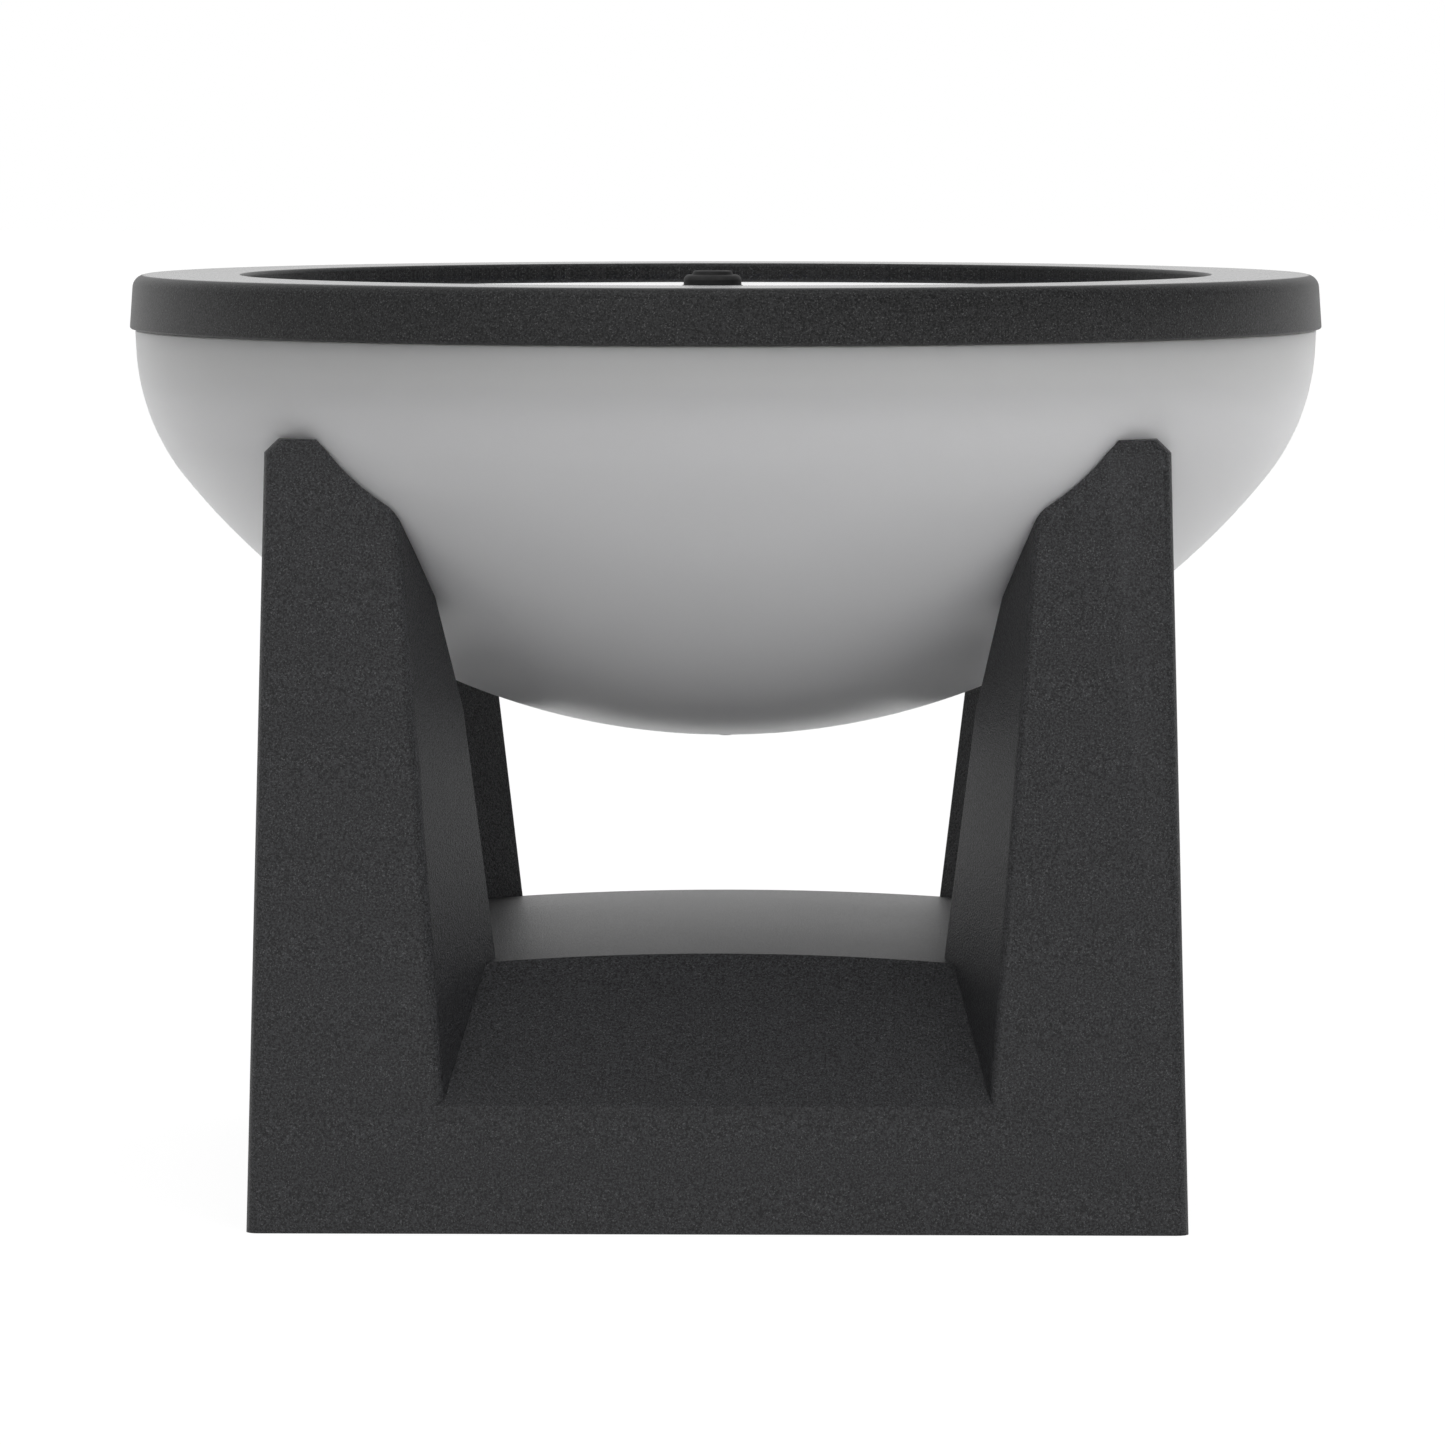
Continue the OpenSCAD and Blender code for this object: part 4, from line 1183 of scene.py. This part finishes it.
@dataclass
class RingCap:
    """The ring cap with its recess, floor, skirt and screw bosses."""

    radius: float = 100.0 * MM
    low: float = 143.12 * MM
    top: float = 152.12 * MM
    edge: float = 2.2 * MM
    draft: float = 0.45 * MM
    foot_edge: float = 0.35 * MM
    recess: float = 81.2 * MM
    recess_edge: float = 0.7 * MM
    flat: float = 0.15 * MM
    skirt_inner: float = 97.3 * MM
    plate: float = 2.4 * MM
    recess_wall: float = 2.0 * MM
    floor_top: float = 148.12 * MM
    floor: float = 1.8 * MM
    segments: int = 320
    key_hole: float = 5.25 * MM
    lead_hole: float = 3.0 * MM
    lead_y: float = -28.0 * MM
    boss: float = 3.6 * MM
    boss_bore: float = 1.55 * MM
    boss_ring: float = 87.1 * MM
    boss_low: float = 130.42 * MM
    boss_bury: float = 0.5 * MM
    boss_segments: int = 32
    bosses: int = 6
    first_boss: float = 15.0

    def build(self) -> None:
        """Turns the ring, adds its bosses and dresses it."""
        under = self.top - self.plate
        obj = mesh_object(revolve(self._outline(under), self.segments, False), "ring_cap_shell")
        button = ButtonKey.spot()
        lead = Vector((button.x, self.lead_y, 0.0))
        floor_low = self.floor_top - self.floor
        low, high = floor_low - MM, self.floor_top + MM
        carve(obj, [cylinder_at("key_hole", button, self.key_hole, low, high),
                    cylinder_at("lead_hole", lead, self.lead_hole, low, high)])
        top = under + self.boss_bury
        tube = revolve([(self.boss_bore, self.boss_low), (self.boss, self.boss_low), (self.boss, top),
                        (self.boss_bore, top)], self.boss_segments, True)
        boss = mesh_object(tube, "boss")
        tubes = circle_of("bosses", boss, self.bosses, self.boss_ring, self.first_boss, RING_BLACK)
        carve(obj, [tubes], Carve.ON)
        resoften(obj)
        finish_piece(obj, Body.CAP, RING_BLACK, "ring_cap")

    def _outline(self, under: float) -> list[Point]:
        """Draws the ring's section.

        Args:
            under: The height of the top plate's underside.

        Returns:
            The section, from the axis under the floor to the axis over it.
        """
        floor_low = self.floor_top - self.floor
        wall = self.recess + self.recess_wall
        foot = (self.radius - self.foot_edge, self.low + self.foot_edge)
        rim = (self.radius - self.draft - self.edge, self.top - self.edge)
        lip = (self.recess + self.recess_edge, self.top - self.recess_edge)
        profile = [(0.0, floor_low), (wall, floor_low), (wall, under)]
        profile += [(self.skirt_inner, under), (self.skirt_inner, self.low)]
        profile += arc(foot, self.foot_edge, -90.0, 0.0, 3)
        profile += arc(rim, self.edge, 3.0, 90.0, 12)
        profile += [(rim[0] - self.flat, self.top), (lip[0] + self.flat, self.top)]
        profile += arc(lip, self.recess_edge, 90.0, 180.0)
        return profile + [(self.recess, self.floor_top), (0.0, self.floor_top)]


@dataclass
class Panel:
    """The solar panel's clear layer and the ribbons on its cells."""

    radius: float = 80.8 * MM
    top: float = 150.42 * MM
    layer: float = 0.6 * MM
    layer_gap: float = 0.08 * MM
    edge: float = 0.2 * MM
    edge_flat: float = 0.35 * MM
    segments: int = 256
    cell_thick: float = 0.25 * MM
    cell_width: float = 21.0 * MM
    cell_gap: float = 1.6 * MM
    cells: int = 6
    margin: float = 6.0 * MM
    ribbon: float = 1.1 * MM
    ribbon_thick: float = 0.06 * MM
    ribbon_inset: float = 1.2 * MM
    ribbon_hole: float = 8.8 * MM
    key_hole: float = 6.45 * MM

    def build(self) -> None:
        """Makes the clear layer and the ribbons and dresses them."""
        low = self.top - self.layer + self.cell_thick + self.layer_gap
        profile = [(0.0, low), (self.radius, low)]
        profile += arc((self.radius - self.edge, self.top - self.edge), self.edge, 0.0, 90.0, 4)
        profile += [(self.radius - self.edge_flat, self.top), (0.0, self.top)]
        glaze = mesh_object(revolve(profile, self.segments, False), "panel_clear_layer")
        carve(glaze, [cylinder_at("key_hole", ButtonKey.spot(), self.key_hole, low - MM, self.top + MM)])
        resoften(glaze)
        finish_piece(glaze, Body.CAP, RESIN, "panel_glaze")
        finish_piece(self._ribbons(), Body.CAP, TINNED)

    def _ribbons(self) -> Object:
        """Lays two tinned ribbons along each cell strip, each as long as its chord.

        Returns:
            The ribbons as one piece, clear of the button.
        """
        tree = GeometryTree("panel_ribbons")
        n = tree.nodes
        ins = tree.inputs(Strips=self.cells, Pitch=self.cell_width + self.cell_gap,
                          Spread=self.cell_width / 2, Reach=self.radius - self.margin - self.ribbon_inset,
                          Width=self.ribbon, Thick=self.ribbon_thick)
        index = n.add("GeometryNodeInputIndex").outputs[0]
        strip = n.math("FLOOR", n.over(index, 2.0))
        side = n.minus(n.math("MODULO", index, 2.0), 0.5)
        middle = n.over(n.minus(ins["Strips"], 1.0), 2.0)
        across = n.plus(n.times(n.minus(strip, middle), ins["Pitch"]), n.times(side, ins["Spread"]))
        reach = ins["Reach"]
        chord = n.math("SQRT", n.minus(n.times(reach, reach), n.times(across, across)))
        spot = n.vector(X=across, Z=self.top - self.layer + self.cell_thick)
        points = n.fill(n.add("GeometryNodePoints"), Count=n.times(ins["Strips"], 2.0), Position=spot)
        size = n.vector(X=ins["Width"], Y=n.times(chord, 2.0), Z=ins["Thick"])
        block = n.add("GeometryNodeMeshCube").outputs["Mesh"]
        made = tree.run(tree.repeat(points, block, Scale=size), TINNED.build())
        low, high = self.top - 2 * MM, self.top + MM
        carve(made, [cylinder_at("ribbon_hole", ButtonKey.spot(), self.ribbon_hole, low, high)])
        return made


@dataclass
class ButtonKey:
    """The stepped rubber key and its sealing collar."""

    distance: float = 58.0 * MM
    angle: float = 269.0
    segments: int = 96
    radius: float = 4.65 * MM
    foot_radius: float = 4.9 * MM
    foot_top: float = 151.67 * MM
    foot_edge: float = 0.2 * MM
    top: float = 153.92 * MM
    top_edge: float = 0.25 * MM
    shoulder: float = 0.9 * MM
    flat: float = 2.9 * MM
    step: float = 0.62 * MM
    crease: float = 0.42 * MM
    crease_rise: float = 0.01 * MM
    dish_outer: float = 2.32 * MM
    dish_inner: float = 2.03 * MM
    dish_lip: float = 0.02 * MM
    dish_step: float = 0.12 * MM
    dish_depth: float = 0.16 * MM
    low: float = 147.62 * MM
    bore: float = 1.65 * MM
    bore_top: float = 150.92 * MM
    flange: float = 6.1 * MM
    flange_low: float = 149.72 * MM
    flange_top: float = 150.32 * MM
    panel: float = 150.42 * MM
    collar: float = 6.05 * MM
    collar_foot: float = 7.7 * MM
    collar_foot_top: float = 0.4 * MM
    collar_bevel: float = 0.1 * MM
    collar_edge: float = 0.25 * MM
    collar_height: float = 0.9 * MM
    collar_gap: float = 0.35 * MM

    @classmethod
    def spot(cls) -> Vector:
        """The button's place on the panel."""
        angle = math.radians(cls.angle)
        return Vector((cls.distance * math.cos(angle), cls.distance * math.sin(angle), 0.0))

    def build(self) -> None:
        """Turns the key and the collar and dresses them."""
        self._place(self._key(), "button_rubber_key", "button_key", Body.BUTTON)
        self._place(self._collar(), "button_sealing_collar", "button_collar", Body.CAP)

    def _key(self) -> list[Point]:
        """Draws the key's section: foot, flange, lower tier, upper tier and dished top.

        Returns:
            The section, closed under the bore.
        """
        shoulder_top = self.top - self.step
        foot = (self.foot_radius - self.foot_edge, self.foot_top - self.foot_edge)
        tier = (self.radius - self.shoulder, shoulder_top - self.shoulder)
        profile = [(self.bore, self.low), (self.foot_radius, self.low), (self.foot_radius, self.flange_low),
                   (self.flange, self.flange_low), (self.flange, self.flange_top)]
        profile += [(self.foot_radius, self.flange_top)] + arc(foot, self.foot_edge, 0.0, 90.0, 4)
        profile += [(self.radius, self.foot_top)] + arc(tier, self.shoulder, 0.0, 80.0)
        profile += [(self.flat + self.crease, shoulder_top + self.crease_rise)]
        profile += arc((self.flat, self.top - self.top_edge), self.top_edge, 20.0, 90.0, 4)
        profile += [(self.dish_outer, self.top - self.dish_lip), (self.dish_inner, self.top - self.dish_step)]
        profile += [(0.0, self.top - self.dish_depth), (0.0, self.bore_top), (self.bore, self.bore_top)]
        return profile

    def _collar(self) -> list[Point]:
        """Draws the collar's section: a thin foot on the panel and a rounded lip round the key.

        Returns:
            The section.
        """
        inner = self.foot_radius + self.collar_gap
        foot_top = self.panel + self.collar_foot_top
        edge, bevel = self.collar_edge, self.collar_bevel
        top = self.panel + self.collar_height
        profile = [(inner, self.panel), (self.collar_foot, self.panel), (self.collar_foot, foot_top - bevel)]
        profile += [(self.collar_foot - bevel, foot_top), (self.collar + bevel, foot_top)]
        profile += [(self.collar, foot_top + bevel)]
        return profile + arc((self.collar - edge, top - edge), edge, 0.0, 90.0, 4) + [(inner, top)]

    def _place(self, profile: list[Point], name: str, node: str, body: Body) -> None:
        """Turns a section at the button's place and dresses it in rubber.

        Args:
            profile: The section.
            name: The piece's name.
            node: The frame node that it replaces.
            body: The body that it moves with.
        """
        mesh = revolve(profile, self.segments, True)
        bmesh.ops.remove_doubles(mesh, verts=mesh.verts, dist=1e-7)
        bmesh.ops.translate(mesh, verts=mesh.verts, vec=self.spot())
        soften(mesh, 35.0)
        finish_piece(mesh_object(mesh, name), body, RUBBER, node)


@dataclass
class LampHead:
    """The lamps under the tray: a clear dome over each."""

    count: int = 12
    circle: float = 28.0 * MM
    dome: float = 1.35 * MM
    squash: float = 0.75
    first_angle: int = 12
    angle_step: int = 13
    segments: int = 20

    def build(self) -> None:
        """Makes the domes with one shape repeated round the axis."""
        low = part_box("lamps")[0].z
        drop = self.squash * self.dome
        turns = [math.radians(angle) for angle in range(self.first_angle, 90, self.angle_step)]
        profile = [(0.0, low - drop)]
        profile += [(self.dome * math.sin(turn), low - drop * math.cos(turn)) for turn in turns]
        profile += [(self.dome, low), (0.0, low)]
        dome = mesh_object(revolve(profile, self.segments, False), "dome")
        lenses = circle_of("lamp_lenses", dome, self.count, self.circle, 0.0, RESIN)
        resoften(lenses, 40.0)
        finish_piece(lenses, Body.CAP, RESIN)


DRESSED = {
    "bowl_screws": ZINC, "bowl_screw_washers": RUBBER, "rim_seal": RUBBER, "panel_tape": FOAM,
    "panel_board": BACKING, "solar_cells": CELLS, "lamp_tray": RING_BLACK, "tray_screws": ZINC,
    "lamp_board": WHITE_BOARD, "lamps": PHOSPHOR, "lamp_board_screws": ZINC, "control_board": GREEN_BOARD,
    "board_parts": BLOCK_BLACK, "control_board_screws": ZINC, "push_switch": BLOCK_BLACK,
    "battery_holder": BLOCK_BLACK, "battery_cell": SLEEVE, "battery_contacts": NICKEL,
    "panel_leads": RED_LEAD, "battery_leads": BLACK_LEAD, "lamp_leads": WHITE_LEAD, "switch_plunger": WHITE,
}


def dress_frame_nodes() -> None:
    """Gives every frame node that stays its finish."""
    for node, finish in DRESSED.items():
        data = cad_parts[node].data
        data.materials.clear()
        data.materials.append(finish.build())
        LOG.info("%s keeps its frame shape in %s", node, finish.name)


# --------------------------------------------------------------------- studio


@dataclass(frozen=True)
class SoftLamp:
    """An area lamp aimed at the object."""

    place: tuple[float, float, float]
    width: float
    height: float
    power: float
    aim: tuple[float, float, float] = (0.0, 0.0, 0.08)

    def build(self) -> None:
        """Hangs the lamp."""
        data = bpy.data.lights.new("lamp", "AREA")
        data.shape = "RECTANGLE"
        data.size = self.width
        data.size_y = self.height
        data.energy = self.power
        lamp = add_object("lamp", data)
        lamp.location = self.place
        way = Vector(self.aim) - Vector(self.place)
        lamp.rotation_euler = way.to_track_quat("-Z", "Y").to_euler()


@dataclass
class Studio:
    """The camera, the lamps, the pale floor and the white surround.

    The surround is white to the camera. Glossy faces mirror it white behind the object, and grey on
    the left and dark on the right in front of it. It lights the object as walls, a ceiling and a key
    lobe to the right would.
    """

    lens: float = 199.7
    sensor: float = 36.0
    camera_at: tuple[float, float, float] = (0.02578, -1.34975, 0.1831)
    camera_tilt: float = 85.48
    camera_turn: float = 0.0195
    floor_size: float = 9.0
    floor_tone: float = 0.88
    floor_glow: float = 1.15
    floor_seen: float = 0.8
    wall_front: float = 0.6
    wall_back: float = 1.6
    front_at: float = -0.3
    back_at: float = 0.6
    wall_left: float = 0.72
    wall_right: float = 0.93
    sides_at: float = 0.8
    ceiling: float = 0.42
    ceiling_at: float = 0.7
    key_way: tuple[float, float, float] = (0.66, -0.689, 0.2985)
    key_edge: float = 0.8
    key_core: float = 0.95
    key_level: float = 1.65
    sheen_left: float = 0.7
    sheen_right: float = 0.1
    sheen_turn: float = 0.25
    sheen_front: float = 0.1
    sheen_back: float = 1.0
    lamps: tuple[SoftLamp, ...] = (
        SoftLamp((-0.4, -1.7, 0.5), 2.0, 0.95, 4.6),
        SoftLamp((0.0, -0.7, 2.0), 1.6, 1.6, 9.0),
    )

    def build(self) -> None:
        """Sets up the whole studio."""
        self._camera()
        self._world()
        self._floor()
        for lamp in self.lamps:
            lamp.build()
        bpy.context.scene.view_settings.view_transform = "Standard"

    def _camera(self) -> None:
        """Sets the camera up."""
        data = bpy.data.cameras.new("view")
        data.lens = self.lens
        data.sensor_width = self.sensor
        camera = add_object("view", data)
        camera.location = self.camera_at
        camera.rotation_euler = (math.radians(self.camera_tilt), 0.0, self.camera_turn)
        bpy.context.scene.camera = camera

    @staticmethod
    def _seen(nodes: Nodes) -> Socket:
        """Tells the rays that show the surround from those that light the object.

        Args:
            nodes: The nodes of the world or of the floor.

        Returns:
            1 for a camera, glossy or transmission ray, else 0.
        """
        path = nodes.add("ShaderNodeLightPath").outputs
        either = nodes.math("MAXIMUM", path["Is Camera Ray"], path["Is Glossy Ray"])
        return nodes.math("MAXIMUM", either, path["Is Transmission Ray"])

    def _world(self) -> None:
        """Joins what the surround shows and what it lights with."""
        world = bpy.data.worlds.new("surround")
        bpy.context.scene.world = world
        nodes = Nodes.fresh(world)
        way = nodes.place()
        axes = nodes.axes(way)
        seen = self._seen(nodes)
        shown = nodes.times(self._shown(nodes, axes), seen)
        light = nodes.times(self._light(nodes, way, axes), nodes.minus(1.0, seen))
        sky = nodes.fill(nodes.add("ShaderNodeBackground"), Color=opaque((1.0, 1.0, 1.0)),
                         Strength=nodes.plus(shown, light))
        nodes.fill(nodes.add("ShaderNodeOutputWorld"), Surface=sky.outputs[0])

    def _shown(self, nodes: Nodes, axes: Any) -> Socket:
        """Works out the surround that is seen: white, or in front grey to dark for glossy rays.

        Args:
            nodes: The world's nodes.
            axes: The ray's direction by axis.

        Returns:
            The strength.
        """
        front = nodes.span(axes["X"], -self.sheen_turn, self.sheen_turn, self.sheen_left, self.sheen_right)
        behind = nodes.span(axes["Y"], self.sheen_front, self.sheen_back)
        mirrored = nodes.plus(behind, nodes.times(front, nodes.minus(1.0, behind)))
        path = nodes.add("ShaderNodeLightPath").outputs
        plain = nodes.math("MAXIMUM", path["Is Camera Ray"], path["Is Transmission Ray"])
        return nodes.math("MAXIMUM", mirrored, plain)

    def _light(self, nodes: Nodes, way: Socket, axes: Any) -> Socket:
        """Works out the surround that lights the object: walls, a ceiling and a key lobe.

        Args:
            nodes: The world's nodes.
            way: The ray's direction.
            axes: The same by axis.

        Returns:
            The strength.
        """
        up = nodes.span(axes["Z"], 0.0, self.ceiling_at, 1.0, self.ceiling)
        along = nodes.span(axes["Y"], self.front_at, self.back_at, self.wall_front, self.wall_back)
        across = nodes.span(axes["X"], -self.sides_at, self.sides_at, self.wall_left, self.wall_right)
        toward = nodes.add("ShaderNodeVectorMath", operation="DOT_PRODUCT")
        nodes.join(way, toward.inputs[0])
        toward.inputs[1].default_value = self.key_way
        key = nodes.span(toward.outputs["Value"], self.key_edge, self.key_core, 0.0, self.key_level)
        return nodes.plus(nodes.times(nodes.times(up, along), across), key)

    def _floor(self) -> None:
        """A pale floor that keeps a soft shadow."""
        mesh = bmesh.new()
        bmesh.ops.create_grid(mesh, x_segments=1, y_segments=1, size=self.floor_size)
        floor = mesh_object(mesh, "floor")
        material = bpy.data.materials.new("pale_floor")
        nodes = Nodes.fresh(material)
        matt = nodes.fill(nodes.add("ShaderNodeBsdfDiffuse"), Color=opaque((self.floor_tone,) * 3))
        glow = nodes.fill(nodes.add("ShaderNodeEmission"), Strength=self.floor_glow)
        mix = nodes.add("ShaderNodeMixShader")
        share = nodes.times(self._seen(nodes), self.floor_seen)
        for socket, source in zip(mix.inputs, (share, matt.outputs[0], glow.outputs[0])):
            nodes.join(source, socket)
        nodes.fill(nodes.add("ShaderNodeOutputMaterial"), Surface=mix.outputs[0])
        floor.data.materials.append(material)


def main() -> None:
    """Builds the studio and every sub-assembly in order."""
    logging.basicConfig(level=logging.INFO)
    Studio().build()
    dress_frame_nodes()
    for part in (Stand(), Bowl(), RingCap(), Panel(), ButtonKey(), LampHead()):
        part.build()


if __name__ == "__main__":
    main()
